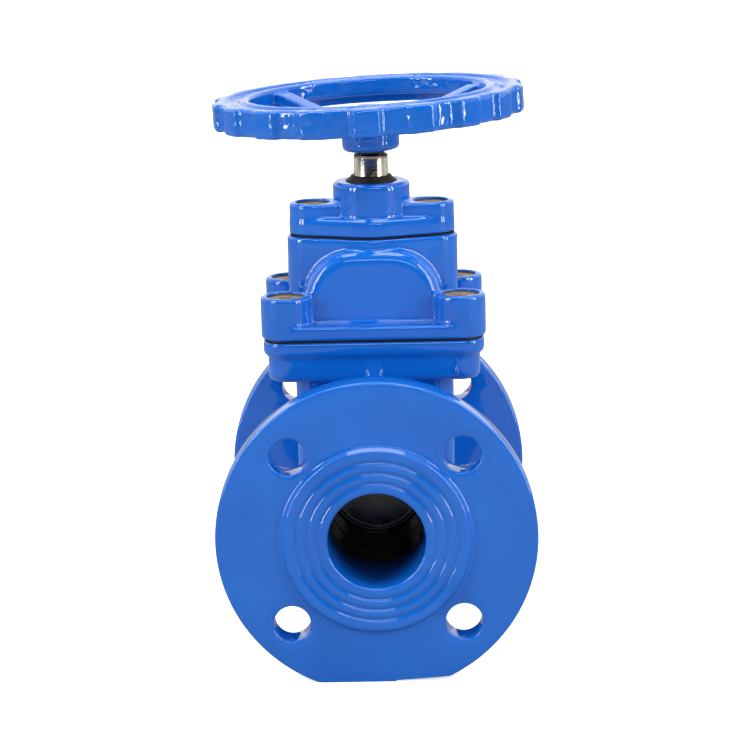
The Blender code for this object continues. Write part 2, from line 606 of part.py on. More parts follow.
def make_wedge(iron, rubber, brass, plastic):
    core_half_y = CAVITY_HALF_Y - 0.5 * MM - RUBBER_T - GAP
    core = add("wedge_core", lean(arch(WEDGE_R, WEDGE_TOP_Z, MM), core_half_y), iron)
    half_x, half_y, top = NUT_HOUSE
    house = corners(half_x - 3 * MM, half_y - 3 * MM, 3 * MM)
    join(core, pillow(house, WEDGE_TOP_Z - 6 * MM, top, 0.5 * MM, MM))
    for side in (1, -1):
        reach = sorted((side * (half_x - 2 * MM), side * LUG_X))
        join(core, box(reach, (-LUG_HALF_Y, LUG_HALF_Y), LUG_Z))
    cut(core, rod(STEM_HOLE_R + 0.7 * MM, PIPE_Z - 2 * WEDGE_R, top + MM, segments=24))
    pocket = (NUT_Z[0] - GAP, NUT_Z[1] + GAP)
    wide = NUT_HALF_X + GAP
    cut(core, box((-wide, wide), (-half_y - MM, half_y + MM), pocket))

    skin = add("wedge_rubber", lean(arch(RUBBER_R, RUBBER_TOP_Z, MM), CAVITY_HALF_Y - 0.5 * MM), rubber)
    cut(skin, lean(arch(WEDGE_R + GAP, WEDGE_TOP_Z + 4 * MM, MM), core_half_y + GAP))
    cut(skin, rod(STEM_HOLE_R + MM, PIPE_Z - 2 * WEDGE_R, PIPE_Z, segments=24))
    slot = LUG_HALF_Y + GAP
    cut(skin, box((-GUIDE_X, GUIDE_X), (-slot, slot), (LUG_Z[0] - GAP, RUBBER_TOP_Z + MM)))

    nut = add("stem_nut", box((-NUT_HALF_X, NUT_HALF_X), (-NUT_HALF_Y, NUT_HALF_Y), NUT_Z), brass)
    cut(nut, rod(STEM_HOLE_R, NUT_Z[0] - MM, NUT_Z[1] + MM, segments=28))

    for name, side in (("guide_shoe_left", -1), ("guide_shoe_right", 1)):
        shoe = add(name, box(sorted((side * SHOE_X[0], side * SHOE_X[1])), (-SHOE_HALF_Y, SHOE_HALF_Y),
                             (LUG_Z[0] + MM, LUG_Z[1] - MM)), plastic)
        inside = sorted((side * (SHOE_X[0] - MM), side * (LUG_X + GAP)))
        cut(shoe, box(inside, (-slot, slot), (LUG_Z[0] - MM, LUG_Z[1] + MM)))


# ---------------------------------------------------------------- handwheel

def scalloped_rim():
    """Rim whose outer edge alternates flat lobes and shallow finger recesses, with a channel in its top."""
    pitch = math.tau / LOBES
    angles, outer = [], []
    for lobe in range(LOBES):
        centre = lobe * pitch + LOBE_PHASE
        for angle, depth in ((-LOBE_ANGLE / 2, 1), (-LOBE_CREST / 2, 0), (LOBE_CREST / 2, 0),
                             (LOBE_ANGLE / 2, 1), (pitch / 2, 1)):
            angles.append(centre + angle)
            outer.append(RIM_OUTER_R - depth * LOBE_DEPTH)
    low, high = RIM_Z
    edge = 1.2 * MM
    floor = high - RIM_CHANNEL_DEPTH
    channel_in, channel_out = RIM_CHANNEL_R
    bm = bmesh.new()
    rings = []
    for angle, radius in zip(angles, outer):
        section = ((RIM_INNER_R, RIM_WEB_Z + edge), (RIM_INNER_R + edge, RIM_WEB_Z),
                   (RIM_SKIRT_R - MM, RIM_WEB_Z), (RIM_SKIRT_R, low), (radius - edge, low),
                   (radius, low + edge), (radius, high - edge), (radius - edge, high),
                   (channel_out, high), (channel_out - MM, floor), (channel_in + MM, floor),
                   (channel_in, high), (RIM_INNER_R + edge, high), (RIM_INNER_R, high - edge))
        way = Vector((math.cos(angle), math.sin(angle)))
        rings.append([bm.verts.new((r * way.x, r * way.y, z)) for r, z in section])
    for i, here in enumerate(rings):
        there = rings[(i + 1) % len(rings)]
        for k in range(len(here)):
            m = (k + 1) % len(here)
            bm.faces.new((here[k], here[m], there[m], there[k]))
    bmesh.ops.recalc_face_normals(bm, faces=bm.faces)
    return bm


def spoke(angle):
    """Bar that drops from the rim's inner wall to the hub."""
    rim_top, hub_top = RIM_Z[1] - 2.5 * MM, HUB_Z[1] - 0.6 * MM
    run = ((RIM_INNER_R + 2 * MM, rim_top), (RIM_INNER_R - 4 * MM, rim_top - 0.6 * MM),
           (HUB_R + 6 * MM, hub_top + 1.2 * MM), (HUB_R - 3 * MM, hub_top))
    bm = bmesh.new()
    rings = []
    half = SPOKE_HALF_W
    for radius, top in run:
        section = ((-half, top - SPOKE_T), (half, top - SPOKE_T), (half, top - MM),
                   (half - MM, top), (MM - half, top), (-half, top - MM))
        rings.append([bm.verts.new((radius, y, z)) for y, z in section])
    for here, there in zip(rings, rings[1:]):
        for k in range(len(here)):
            m = (k + 1) % len(here)
            bm.faces.new((here[k], here[m], there[m], there[k]))
    bm.faces.new(rings[0])
    bm.faces.new(rings[-1])
    bmesh.ops.rotate(bm, verts=bm.verts, cent=(0, 0, 0), matrix=Matrix.Rotation(angle, 3, "Z"))
    bmesh.ops.recalc_face_normals(bm, faces=bm.faces)
    return bm


def tilted(bm):
    """Turns a piece of the wheel to the small angle at which the wheel sits on the stem."""
    lean_over = Matrix.Rotation(-WHEEL_TILT, 3, "Y")
    bmesh.ops.rotate(bm, verts=bm.verts, cent=(0, 0, WHEEL_PIVOT_Z), matrix=lean_over)
    return bm


def make_handwheel(paint, steel):
    wheel = add("handwheel", tilted(scalloped_rim()), paint, (0, 0, WHEEL_PIVOT_Z))
    hub = pillow([(0, 0, HUB_R)], *HUB_Z, 2.5 * MM, 1.2 * MM, points=32)
    shapes = [tilted(hub)] + [tilted(spoke(angle)) for angle in SPOKE_ANGLES]
    join(wheel, *shapes)
    hole = SQUARE_HALF + 0.8 * MM
    cut(wheel, tilted(box((-hole, hole), (-hole, hole), (HUB_Z[0] - MM, HUB_Z[1] + MM))))

    low = HUB_Z[1] + GAP
    washer = ring(SCREW_R + 0.5 * MM, WHEEL_WASHER_R, low, low + WHEEL_WASHER_T, 32)
    add("handwheel_washer", tilted(washer), steel, (0, 0, WHEEL_PIVOT_Z))
    under, head_r, chamfer = WHEEL_BOLT_HEAD_Z, WHEEL_BOLT_HEAD_R, 0.7 * MM
    top = under + WHEEL_BOLT_HEAD_H
    profile = [(0, WHEEL_BOLT_TIP_Z), (SCREW_R, WHEEL_BOLT_TIP_Z), (SCREW_R, under), (head_r, under),
               (head_r, top - chamfer), (head_r - chamfer, top), (0, top)]
    bolt = add("handwheel_bolt", turned(profile, 24), steel, (0, 0, WHEEL_PIVOT_Z))
    reach = 2 * head_r
    for turn in range(6):
        flat = box((WHEEL_BOLT_FLATS, reach), (-reach, reach), (under - MM, top + MM))
        turned_by = Matrix.Rotation(turn * math.pi / 3, 3, "Z")
        bmesh.ops.rotate(flat, verts=flat.verts, cent=(0, 0, 0), matrix=turned_by)
        cut(bolt, flat)


def main():
    clear_scene()
    epoxy = material("blue_epoxy", (0.02, 0.13, 0.55), 0.25)
    rubber = material("black_rubber", (0.012, 0.011, 0.010), 0.6)
    wiper = material("brown_black_rubber", (0.02, 0.014, 0.01), 0.55)
    wax = material("sealing_wax", (0.42, 0.3, 0.2), 0.6)
    stainless = material("stainless_steel", (0.6, 0.58, 0.55), 0.25, 1.0)
    zinc = material("zinc_plated_steel", (0.55, 0.56, 0.58), 0.35, 1.0)
    brass = material("brass", (0.7, 0.5, 0.2), 0.3, 1.0)
    iron = material("ductile_iron", (0.12, 0.12, 0.12), 0.6, 0.8)
    nylon = material("nylon", (0.75, 0.73, 0.66), 0.45)

    make_body(epoxy)
    make_bonnet_gasket(rubber)
    make_bonnet(epoxy)
    make_gland_gasket(rubber)
    make_gland_cover(epoxy)
    make_fasteners(zinc, wax)
    make_stem(stainless)
    make_stem_seals(nylon, wiper, brass)
    make_wedge(iron, rubber, brass, nylon)
    make_handwheel(epoxy, zinc)


main()
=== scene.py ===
"""Flanged gate valve with a non-rising stem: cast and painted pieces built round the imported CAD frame.

Lengths are in metres. The feet of the flanges stand on z = 0, the bore runs along Y with the inlet at -Y,
and the stem stands along +Z. Castings are modelled from primitives, fused, and softened as sand castings
are; turned pieces are spun from a profile.
"""

from __future__ import annotations

import logging
import math
from dataclasses import dataclass
from enum import Enum
from typing import Callable, Iterable, Optional, Sequence

import bmesh
import bpy
from mathutils import Matrix, Quaternion, Vector

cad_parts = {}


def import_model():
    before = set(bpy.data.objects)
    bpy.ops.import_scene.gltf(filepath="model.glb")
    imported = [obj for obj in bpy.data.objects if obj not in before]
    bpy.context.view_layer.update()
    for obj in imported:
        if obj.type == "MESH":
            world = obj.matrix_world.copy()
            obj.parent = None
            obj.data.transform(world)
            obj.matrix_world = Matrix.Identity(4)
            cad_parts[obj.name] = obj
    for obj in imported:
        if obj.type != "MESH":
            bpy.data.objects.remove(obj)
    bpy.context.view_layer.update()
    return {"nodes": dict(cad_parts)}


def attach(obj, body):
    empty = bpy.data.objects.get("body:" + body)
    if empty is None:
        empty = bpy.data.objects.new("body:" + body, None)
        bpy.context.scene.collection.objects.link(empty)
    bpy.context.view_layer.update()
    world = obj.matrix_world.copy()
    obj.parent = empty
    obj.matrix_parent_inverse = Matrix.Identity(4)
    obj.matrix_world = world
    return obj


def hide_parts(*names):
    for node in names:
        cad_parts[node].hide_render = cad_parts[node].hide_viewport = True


MM = 0.001
LOG = logging.getLogger("gate_valve")
Profile = list[tuple[float, float]]
Disc = tuple[float, float, float]


class Axis(Enum):
    """Direction that a turned or extruded shape stands along."""

    PIPE = "Y"
    STEM = "Z"


class Body(Enum):
    """Rigid bodies of the frame that pieces ride on."""

    CASING = "casing"
    SPINDLE = "spindle"
    GATE = "gate"


# ---------------------------------------------------------------- shared sizes


@dataclass(frozen=True)
class ValveSizes:
    """Driving dimensions that more than one sub-assembly uses."""

    pipe_z: float = 76 * MM
    face_y: float = 89 * MM
    bore_r: float = 25 * MM
    pipe_r: float = 34 * MM
    cavity_r: float = 31.5 * MM
    cavity_half_y: float = 16.5 * MM
    cavity_top_half_y: float = 20.5 * MM
    cavity_top_z: float = 203 * MM
    groove_inner_x: float = 28 * MM
    groove_x: float = 37.2 * MM
    groove_half_y: float = 6.3 * MM
    groove_low_z: float = 71.2 * MM
    groove_top_z: float = 191.5 * MM
    body_top_z: float = 168.8 * MM
    screw_x: float = 45.6 * MM
    screw_y: float = 27.3 * MM
    boss_top_z: float = 192.4 * MM
    tapped_r: float = 4.2 * MM
    screw_hole_r: float = 4.5 * MM
    counterbore_r: float = 9.9 * MM
    counterbore_z: float = 178 * MM
    gland_screw_x: float = 31.1 * MM
    gland_counterbore_r: float = 9.2 * MM
    gland_bar_top_z: float = 237.3 * MM
    stem_r: float = 9 * MM
    wheel_pivot_z: float = 272 * MM
    wheel_tilt: float = math.radians(2.6)

    def bonnet_screws(self) -> list[tuple[float, float]]:
        """Places (x, y) of the four bonnet screws."""
        return [(sx * self.screw_x, sy * self.screw_y) for sx in (1, -1) for sy in (1, -1)]

    def gland_screws(self) -> list[tuple[float, float]]:
        """Places (x, y) of the two gland screws."""
        return [(self.gland_screw_x, 0.0), (-self.gland_screw_x, 0.0)]


SIZES = ValveSizes()


# ---------------------------------------------------------------- materials


def linear(code: str) -> tuple[float, float, float, float]:
    """Turns an sRGB hex colour into linear RGBA.

    Args:
        code: colour such as "#2a6cc8".

    Returns:
        Linear red, green, blue and an alpha of 1.
    """
    parts = [int(code[i:i + 2], 16) / 255 for i in (1, 3, 5)]
    straight = [c / 12.92 if c <= 0.04045 else ((c + 0.055) / 1.055) ** 2.4 for c in parts]
    return (straight[0], straight[1], straight[2], 1.0)


def add_node(tree: bpy.types.NodeTree, kind: str, values: Optional[dict] = None,
             links: Optional[dict] = None, **settings: object) -> bpy.types.Node:
    """Adds a shader node.

    Args:
        tree: node tree that gets the node.
        kind: Blender's type name of the node.
        values: socket name or index to default value.
        links: socket name or index to the output socket that feeds it.
        settings: attributes of the node.

    Returns:
        The new node.
    """
    made = tree.nodes.new(kind)
    for key, value in settings.items():
        setattr(made, key, value)
    for socket, value in (values or {}).items():
        made.inputs[socket].default_value = value
    for socket, source in (links or {}).items():
        tree.links.new(source, made.inputs[socket])
    return made


def new_material(name: str) -> tuple[bpy.types.Material, bpy.types.NodeTree, bpy.types.Node]:
    """Makes a node material.

    Args:
        name: name of the material.

    Returns:
        The material, its tree and its Principled shader.
    """
    made = bpy.data.materials.new(name)
    made.use_nodes = True
    return made, made.node_tree, made.node_tree.nodes["Principled BSDF"]


def set_values(shader: bpy.types.Node, **values: float) -> None:
    """Sets shader sockets, written with underscores in place of spaces."""
    for key, value in values.items():
        shader.inputs[key.replace("_", " ")].default_value = value


def noise(tree: bpy.types.NodeTree, size_mm: float, detail: float = 2.0,
          stretch: tuple[float, float, float] = (1, 1, 1)) -> bpy.types.NodeSocket:
    """Noise in object space.

    Args:
        tree: node tree that gets the nodes.
        size_mm: size of the pattern's features in real millimetres.
        detail: octaves of finer noise.
        stretch: scale of each axis, to draw the features out.

    Returns:
        The noise's value socket.
    """
    place = add_node(tree, "ShaderNodeTexCoord")
    mapped = add_node(tree, "ShaderNodeMapping", {"Scale": stretch}, {"Vector": place.outputs["Object"]})
    made = add_node(tree, "ShaderNodeTexNoise", {"Scale": 1000 / size_mm, "Detail": detail},
                    {"Vector": mapped.outputs["Vector"]})
    return made.outputs["Fac"]


def ramp(tree: bpy.types.NodeTree, source: bpy.types.NodeSocket,
         stops: Sequence[tuple[float, str]]) -> bpy.types.NodeSocket:
    """Colour ramp fed by a value.

    Args:
        tree: node tree that gets the node.
        source: value socket.
        stops: pairs of position and hex colour.

    Returns:
        The ramp's colour socket.
    """
    made = add_node(tree, "ShaderNodeValToRGB", links={"Fac": source})
    bands = made.color_ramp
    while len(bands.elements) < len(stops):
        bands.elements.new(0.5)
    for element, (position, code) in zip(bands.elements, stops):
        element.position = position
        element.color = linear(code)
    return made.outputs["Color"]


def fitted(tree: bpy.types.NodeTree, source: bpy.types.NodeSocket, low: float, high: float,
           start: float = 0.3, end: float = 0.7) -> bpy.types.NodeSocket:
    """Maps a noise value from start..end to low..high and returns the result's socket."""
    made = add_node(tree, "ShaderNodeMapRange", {1: start, 2: end, 3: low, 4: high}, {0: source})
    return made.outputs[0]


def bump(tree: bpy.types.NodeTree, shader: bpy.types.Node,
         layers: Sequence[tuple[bpy.types.NodeSocket, float]]) -> None:
    """Chains bump layers, each a height socket and its real height in metres, into the shader."""
    normal = None
    for height, depth in layers:
        links = {"Height": height}
        if normal is not None:
            links["Normal"] = normal
        made = add_node(tree, "ShaderNodeBump", {"Strength": 1.0, "Distance": depth}, links)
        normal = made.outputs["Normal"]
    tree.links.new(normal, shader.inputs["Normal"])


@dataclass(frozen=True)
class EpoxyPaint:
    """Fusion-bonded epoxy on a shot-blasted ductile iron casting: it melts into a thick glossy coat."""

    name: str = "fusion_bonded_epoxy"
    thin: str = "#0a60c4"
    body: str = "#0b66cb"
    pooled: str = "#0e6cd2"
    # near-black brown used as painted shade deep inside the bore, where little light reaches
    bore_shade: str = "#0d0b07"
    roughness: tuple[float, float] = (0.03, 0.1)
    peel_depth: float = 0.012 * MM
    sand_depth: float = 0.08 * MM
    sand_mm: float = 9.0

    def build(self) -> bpy.types.Material:
        """Gloss with an orange-peel skin over the slow waves of the sand mould, and a colour that deepens
        where the coat pools."""
        made, tree, shader = new_material(self.name)
        tone = ramp(tree, noise(tree, 38, 3), [(0.3, self.thin), (0.5, self.body), (0.75, self.pooled)])
        # painted shade: the blue darkens towards near black deeper inside the bore
        bore_shaded = add_node(tree, "ShaderNodeMix", {7: linear(self.bore_shade)},
                         {0: self.bore_shade_share(tree), 6: tone}, data_type="RGBA")
        tree.links.new(bore_shaded.outputs[2], shader.inputs["Base Color"])
        tree.links.new(fitted(tree, noise(tree, 15, 4), *self.roughness), shader.inputs["Roughness"])
        # orange peel is about 2.5 mm across, and the mould's waves follow the sand's packing
        bump(tree, shader, [(noise(tree, self.sand_mm, 1.5), self.sand_depth),
                            (noise(tree, 2.5, 1), self.peel_depth)])
        set_values(shader, IOR=1.5, Coat_Weight=0.4, Coat_Roughness=0.03)
        return made

    def bore_shade_share(self, tree: bpy.types.NodeTree) -> bpy.types.NodeSocket:
        """Share of painted shade in the bore: none outside, growing with depth inside the bore, where the
        paint is darkened to near black as if unlit.
        """
        place = add_node(tree, "ShaderNodeTexCoord").outputs["Object"]
        centred = add_node(tree, "ShaderNodeMapping", {"Location": (0, 0, -SIZES.pipe_z)}, {"Vector": place})
        parts = add_node(tree, "ShaderNodeSeparateXYZ", links={0: centred.outputs[0]})
        across = add_node(tree, "ShaderNodeCombineXYZ", links={0: parts.outputs[0], 2: parts.outputs[2]})
        reach = add_node(tree, "ShaderNodeVectorMath", links={0: across.outputs[0]}, operation="LENGTH")
        inside = fitted(tree, reach.outputs["Value"], 1.0, 0.0,
                        SIZES.bore_r + 0.2 * MM, SIZES.bore_r + 1.2 * MM)
        along = add_node(tree, "ShaderNodeMath", links={0: parts.outputs[1]}, operation="ABSOLUTE")
        deep = fitted(tree, along.outputs[0], 1.0, 0.0, SIZES.face_y - 50 * MM, SIZES.face_y - 6 * MM)
        both = add_node(tree, "ShaderNodeMath", links={0: inside, 1: deep}, operation="MULTIPLY")
        return both.outputs[0]


@dataclass(frozen=True)
class MouldedRubber:
    """EPDM rubber from a polished mould: near black with a dull sheen and a little bloom."""

    name: str
    dark: str = "#0b0905"
    bloom: str = "#1a1611"
    roughness: tuple[float, float] = (0.4, 0.6)
    sheen: float = 0.3

    def build(self) -> bpy.types.Material:
        """Dark, with bloom in soft patches that dulls the sheen."""
        made, tree, shader = new_material(self.name)
        cloud = noise(tree, 6, 5)
        tone = ramp(tree, cloud, [(0.35, self.dark), (0.75, self.bloom)])
        tree.links.new(tone, shader.inputs["Base Color"])
        tree.links.new(fitted(tree, cloud, *self.roughness), shader.inputs["Roughness"])
        bump(tree, shader, [(noise(tree, 1.2, 3), 0.05 * MM)])
        set_values(shader, IOR=1.52, Specular_IOR_Level=self.sheen)
        return made


@dataclass(frozen=True)
class PouredWax:
    """Hot-melt sealing wax poured over a screw head: waxy tan that browned where it was touched."""

    name: str = "poured_sealing_wax"
    pale: str = "#9a8563"
    tan: str = "#80694a"
    brown: str = "#4f3b25"
    edge: str = "#2c2418"

    def build(self) -> bpy.types.Material:
        """Tan mottling, a brown spot at the middle and a dark line where the wax meets the wall. The
        attribute "reach" runs from 0 at the plug's middle to 1 at its wall."""
        made, tree, shader = new_material(self.name)
        mottle = ramp(tree, noise(tree, 3, 4), [(0.35, self.tan), (0.65, self.pale)])
        reach = add_node(tree, "ShaderNodeAttribute", attribute_name="reach")
        uneven = add_node(tree, "ShaderNodeMath", {1: -0.25}, {0: noise(tree, 4, 3)},
                          operation="MULTIPLY_ADD")
        tree.links.new(reach.outputs["Fac"], uneven.inputs[2])
        spot = fitted(tree, uneven.outputs[0], 1.0, 0.0, 0.02, 0.28)
        rim = fitted(tree, reach.outputs["Fac"], 0.0, 1.0, 0.88, 0.99)
        browned = add_node(tree, "ShaderNodeMix", {7: linear(self.brown)},
                           {0: spot, 6: mottle}, data_type="RGBA")
        edged = add_node(tree, "ShaderNodeMix", {7: linear(self.edge)},
                         {0: rim, 6: browned.outputs[2]}, data_type="RGBA")
        tree.links.new(edged.outputs[2], shader.inputs["Base Color"])
        tree.links.new(fitted(tree, noise(tree, 2, 2), 0.4, 0.65), shader.inputs["Roughness"])
        bump(tree, shader, [(noise(tree, 2.2, 3), 0.12 * MM)])
        set_values(shader, IOR=1.44, Subsurface_Weight=0.12, Subsurface_Scale=0.002)
        return made


@dataclass(frozen=True)
class MachinedMetal:
    """Metal that was turned or plated: tool lines round the axis under a tinted sheen."""

    name: str
    light: str
    dark: str
    roughness: tuple[float, float]
    line_mm: float = 0.5
    line_depth: float = 0.01 * MM
    hub_shadow_z: tuple[float, float] = (1.0, 1.1)  # above every piece, for one with no painted shadow
    hub_shadow_colour: str = "#1d150d"

    def build(self) -> bpy.types.Material:
        """Metal with rings of tool lines along Z, and a painted shadow that darkens it above a height, where
        the wheel's hub shades the stem. Real lines are 0.1 mm apart, too fine to show, so they are drawn
        coarser."""
        made, tree, shader = new_material(self.name)
        patches = noise(tree, 7, 4)
        tone = ramp(tree, patches, [(0.3, self.dark), (0.7, self.light)])
        place = add_node(tree, "ShaderNodeTexCoord").outputs["Object"]
        height = add_node(tree, "ShaderNodeSeparateXYZ", links={0: place}).outputs[2]
        uneven = add_node(tree, "ShaderNodeMath", {1: 2.5 * MM, 2: -1.25 * MM}, {0: patches},
                          operation="MULTIPLY_ADD")
        edge = add_node(tree, "ShaderNodeMath", links={0: height, 1: uneven.outputs[0]}, operation="ADD")
        # painted shadow: the colour darkens above the height where the hub's shade falls
        shadowed = fitted(tree, edge.outputs[0], 0.0, 0.9, *self.hub_shadow_z)
        shadowed_tone = add_node(tree, "ShaderNodeMix", {7: linear(self.hub_shadow_colour)},
                          {0: shadowed, 6: tone}, data_type="RGBA")
        tree.links.new(shadowed_tone.outputs[2], shader.inputs["Base Color"])
        lines = noise(tree, self.line_mm, 2, (0.02, 0.02, 1))
        tree.links.new(fitted(tree, lines, *self.roughness), shader.inputs["Roughness"])
        bump(tree, shader, [(lines, self.line_depth)])
        set_values(shader, Metallic=1.0)
        return made


@dataclass(frozen=True)
class SandCastIron:
    """Ductile iron as it leaves the mould: dark grey, grainy and dull."""

    name: str = "ductile_iron_as_cast"

    def build(self) -> bpy.types.Material:
        """Dull grey metal with a sand grain of about 0.8 mm."""
        made, tree, shader = new_material(self.name)
        tone = ramp(tree, noise(tree, 12, 5), [(0.3, "#3a3a3b"), (0.7, "#565656")])
        tree.links.new(tone, shader.inputs["Base Color"])
        bump(tree, shader, [(noise(tree, 0.8, 3), 0.08 * MM)])
        set_values(shader, Metallic=0.8, Roughness=0.55)
        return made


@dataclass(frozen=True)
class MouldedNylon:
    """Injection-moulded polyamide: off-white with a satin skin."""

    name: str = "moulded_nylon"

    def build(self) -> bpy.types.Material:
        """Off-white plastic with faint flow marks about 5 mm across."""
        made, tree, shader = new_material(self.name)
        tone = ramp(tree, noise(tree, 5, 3), [(0.3, "#cfcabb"), (0.7, "#dedacf")])
        tree.links.new(tone, shader.inputs["Base Color"])
        tree.links.new(fitted(tree, noise(tree, 3, 2), 0.35, 0.5), shader.inputs["Roughness"])
        bump(tree, shader, [(noise(tree, 1.5, 2), 0.02 * MM)])
        set_values(shader, IOR=1.53, Subsurface_Weight=0.1, Subsurface_Scale=0.001)
        return made


@dataclass(frozen=True)
class StudioFloor:
    """Seamless white paper sweep, lit from within so that it prints white but throws little light back."""

    name: str = "paper_sweep"
    bounce: tuple[float, float] = (0.36, 0.92)
    glow: float = 0.62

    def build(self) -> bpy.types.Material:
        """Matt paper, paler to the eye than to the light that it bounces."""
        made, tree, shader = new_material(self.name)
        seen = add_node(tree, "ShaderNodeLightPath").outputs["Is Camera Ray"]
        tree.links.new(fitted(tree, seen, *self.bounce, 0, 1), shader.inputs["Base Color"])
        shader.inputs["Emission Color"].default_value = linear("#ffffff")
        tree.links.new(fitted(tree, seen, 0.0, self.glow, 0, 1), shader.inputs["Emission Strength"])
        set_values(shader, Roughness=0.9, Specular_IOR_Level=0.0)
        return made


@dataclass
class Finishes:
    """Every finish on the valve, built once."""

    paint: bpy.types.Material
    rough_paint: bpy.types.Material
    seal: bpy.types.Material
    gasket: bpy.types.Material
    wiper: bpy.types.Material
    wax: bpy.types.Material
    stainless: bpy.types.Material
    zinc: bpy.types.Material
    brass: bpy.types.Material
    iron: bpy.types.Material
    nylon: bpy.types.Material

    @classmethod
    def build(cls) -> Finishes:
        """Builds all the materials."""
        return cls(
            paint=EpoxyPaint().build(),
            rough_paint=EpoxyPaint("fusion_bonded_epoxy_on_rough_casting", sand_depth=0.13 * MM,
                                   sand_mm=7.5, peel_depth=0.02 * MM).build(),
            seal=MouldedRubber("greased_epdm_rubber", roughness=(0.08, 0.25), sheen=0.5).build(),
            gasket=MouldedRubber("epdm_rubber").build(),
            wiper=MouldedRubber("weathered_nitrile_rubber", "#0e0703", "#23170b").build(),
            wax=PouredWax().build(),
            # the stem gets a painted shadow from just under the wheel's hub upwards
            stainless=MachinedMetal("turned_stainless_steel", "#c6bfb0", "#968d7e", (0.12, 0.28),
                                    hub_shadow_z=(260.6 * MM, 262.4 * MM)).build(),
            zinc=MachinedMetal("zinc_plated_steel", "#c4c7cb", "#a3a6ab", (0.28, 0.42), 1.0).build(),
            brass=MachinedMetal("machined_brass", "#d8b878", "#c29a55", (0.2, 0.34)).build(),
            iron=SandCastIron().build(),
            nylon=MouldedNylon().build(),
        )


# ---------------------------------------------------------------- modelling


def deselect_all() -> None:
    """Leaves edit mode and deselects every object."""
    active = bpy.context.view_layer.objects.active
    if active is not None and active.mode != "OBJECT":
        bpy.ops.object.mode_set(mode="OBJECT")
    bpy.ops.object.select_all(action="DESELECT")


def activate(obj: bpy.types.Object) -> None:
    """Selects one object alone and makes it active."""
    deselect_all()
    obj.select_set(True)
    bpy.context.view_layer.objects.active = obj


def apply_place(obj: bpy.types.Object) -> None:
    """Moves an object's place, turn and scale into its mesh."""
    activate(obj)
    bpy.ops.object.transform_apply(location=True, rotation=True, scale=True)


def apply_modifier(obj: bpy.types.Object, kind: str, **settings: object) -> None:
    """Adds a modifier with these settings and applies it at once."""
    activate(obj)
    modifier = obj.modifiers.new(kind.lower(), kind)
    for key, value in settings.items():
        setattr(modifier, key, value)
    bpy.ops.object.modifier_apply(modifier=modifier.name)


def clean(obj: bpy.types.Object) -> None:
    """Merges double vertices and points every face outwards."""
    activate(obj)
    bpy.ops.object.mode_set(mode="EDIT")
    bpy.ops.mesh.select_all(action="SELECT")
    bpy.ops.mesh.remove_doubles(threshold=0.001 * MM)
    bpy.ops.mesh.normals_make_consistent(inside=False)
    bpy.ops.object.mode_set(mode="OBJECT")


def wire(name: str, points: Sequence[Vector]) -> bpy.types.Object:
    """Draws a wire, by collapsing a small plane to a vertex and extruding that from point to point.

    Args:
        name: name of the object.
        points: corners of the wire; a closed wire repeats its first corner at the end.

    Returns:
        The wire, with its doubles merged.
    """
    deselect_all()
    bpy.ops.mesh.primitive_plane_add(size=MM)
    obj = bpy.context.object
    obj.name = name
    bpy.ops.object.mode_set(mode="EDIT")
    bpy.ops.mesh.merge(type="CENTER")
    bpy.ops.transform.translate(value=points[0])
    for here, there in zip(points, points[1:]):
        bpy.ops.mesh.extrude_region_move(TRANSFORM_OT_translate={"value": there - here})
    bpy.ops.mesh.select_all(action="SELECT")
    bpy.ops.mesh.remove_doubles(threshold=0.001 * MM)
    bpy.ops.object.mode_set(mode="OBJECT")
    return obj


def spun(name: str, profile: Profile, axis: Axis = Axis.STEM, steps: int = 96,
         centre: Vector = Vector((0, 0, 0)), angle: float = math.tau) -> bpy.types.Object:
    """Spins a profile into a solid.

    Args:
        name: name of the object.
        profile: (radius, height along the axis) corners, closed on itself or ending on the axis.
        axis: axis that the profile is spun round.
        steps: number of spin steps.
        centre: point on the axis from which heights count.
        angle: how far to spin; less than a full turn leaves open ends, which are then closed.

    Returns:
        The closed solid.
    """
    if profile[0][0] > 0:
        profile = profile + profile[:1]
    way = Vector((0, 1, 0)) if axis is Axis.PIPE else Vector((0, 0, 1))
    obj = wire(name, [centre + Vector((r, 0, 0)) + way * h for r, h in profile])
    activate(obj)
    bpy.ops.object.mode_set(mode="EDIT")
    bpy.ops.mesh.select_all(action="SELECT")
    bpy.ops.mesh.spin(steps=steps, angle=angle, center=centre, axis=way)
    bpy.ops.mesh.select_all(action="SELECT")
    bpy.ops.mesh.remove_doubles(threshold=0.001 * MM)
    if angle < math.tau:
        bpy.ops.mesh.select_all(action="DESELECT")
        bpy.ops.mesh.select_non_manifold()
        bpy.ops.mesh.fill()
        bpy.ops.mesh.select_all(action="SELECT")
    bpy.ops.mesh.normals_make_consistent(inside=False)
    bpy.ops.object.mode_set(mode="OBJECT")
    return obj


def rod(name: str, radius: float, low: float, high: float, x: float = 0.0, y: float = 0.0,
        axis: Axis = Axis.STEM, segments: int = 40) -> bpy.types.Object:
    """Cylinder between two heights along an axis, through (x, y) across it; on the pipe, y counts from
    the pipe's axis."""
    deselect_all()
    middle = (low + high) / 2
    place, turn = (x, y, middle), (0.0, 0.0, 0.0)
    if axis is Axis.PIPE:
        place, turn = (x, middle, SIZES.pipe_z + y), (math.pi / 2, 0.0, 0.0)
    bpy.ops.mesh.primitive_cylinder_add(vertices=segments, radius=radius, depth=high - low,
                                        location=place, rotation=turn)
    obj = bpy.context.object
    obj.name = name
    apply_place(obj)
    return obj


def block(name: str, x: tuple[float, float], y: tuple[float, float],
          z: tuple[float, float]) -> bpy.types.Object:
    """Box between the low and high values given for each axis."""
    deselect_all()
    spans = (x, y, z)
    bpy.ops.mesh.primitive_cube_add(size=1, location=[(low + high) / 2 for low, high in spans],
                                    scale=[high - low for low, high in spans])
    obj = bpy.context.object
    obj.name = name
    apply_place(obj)
    return obj


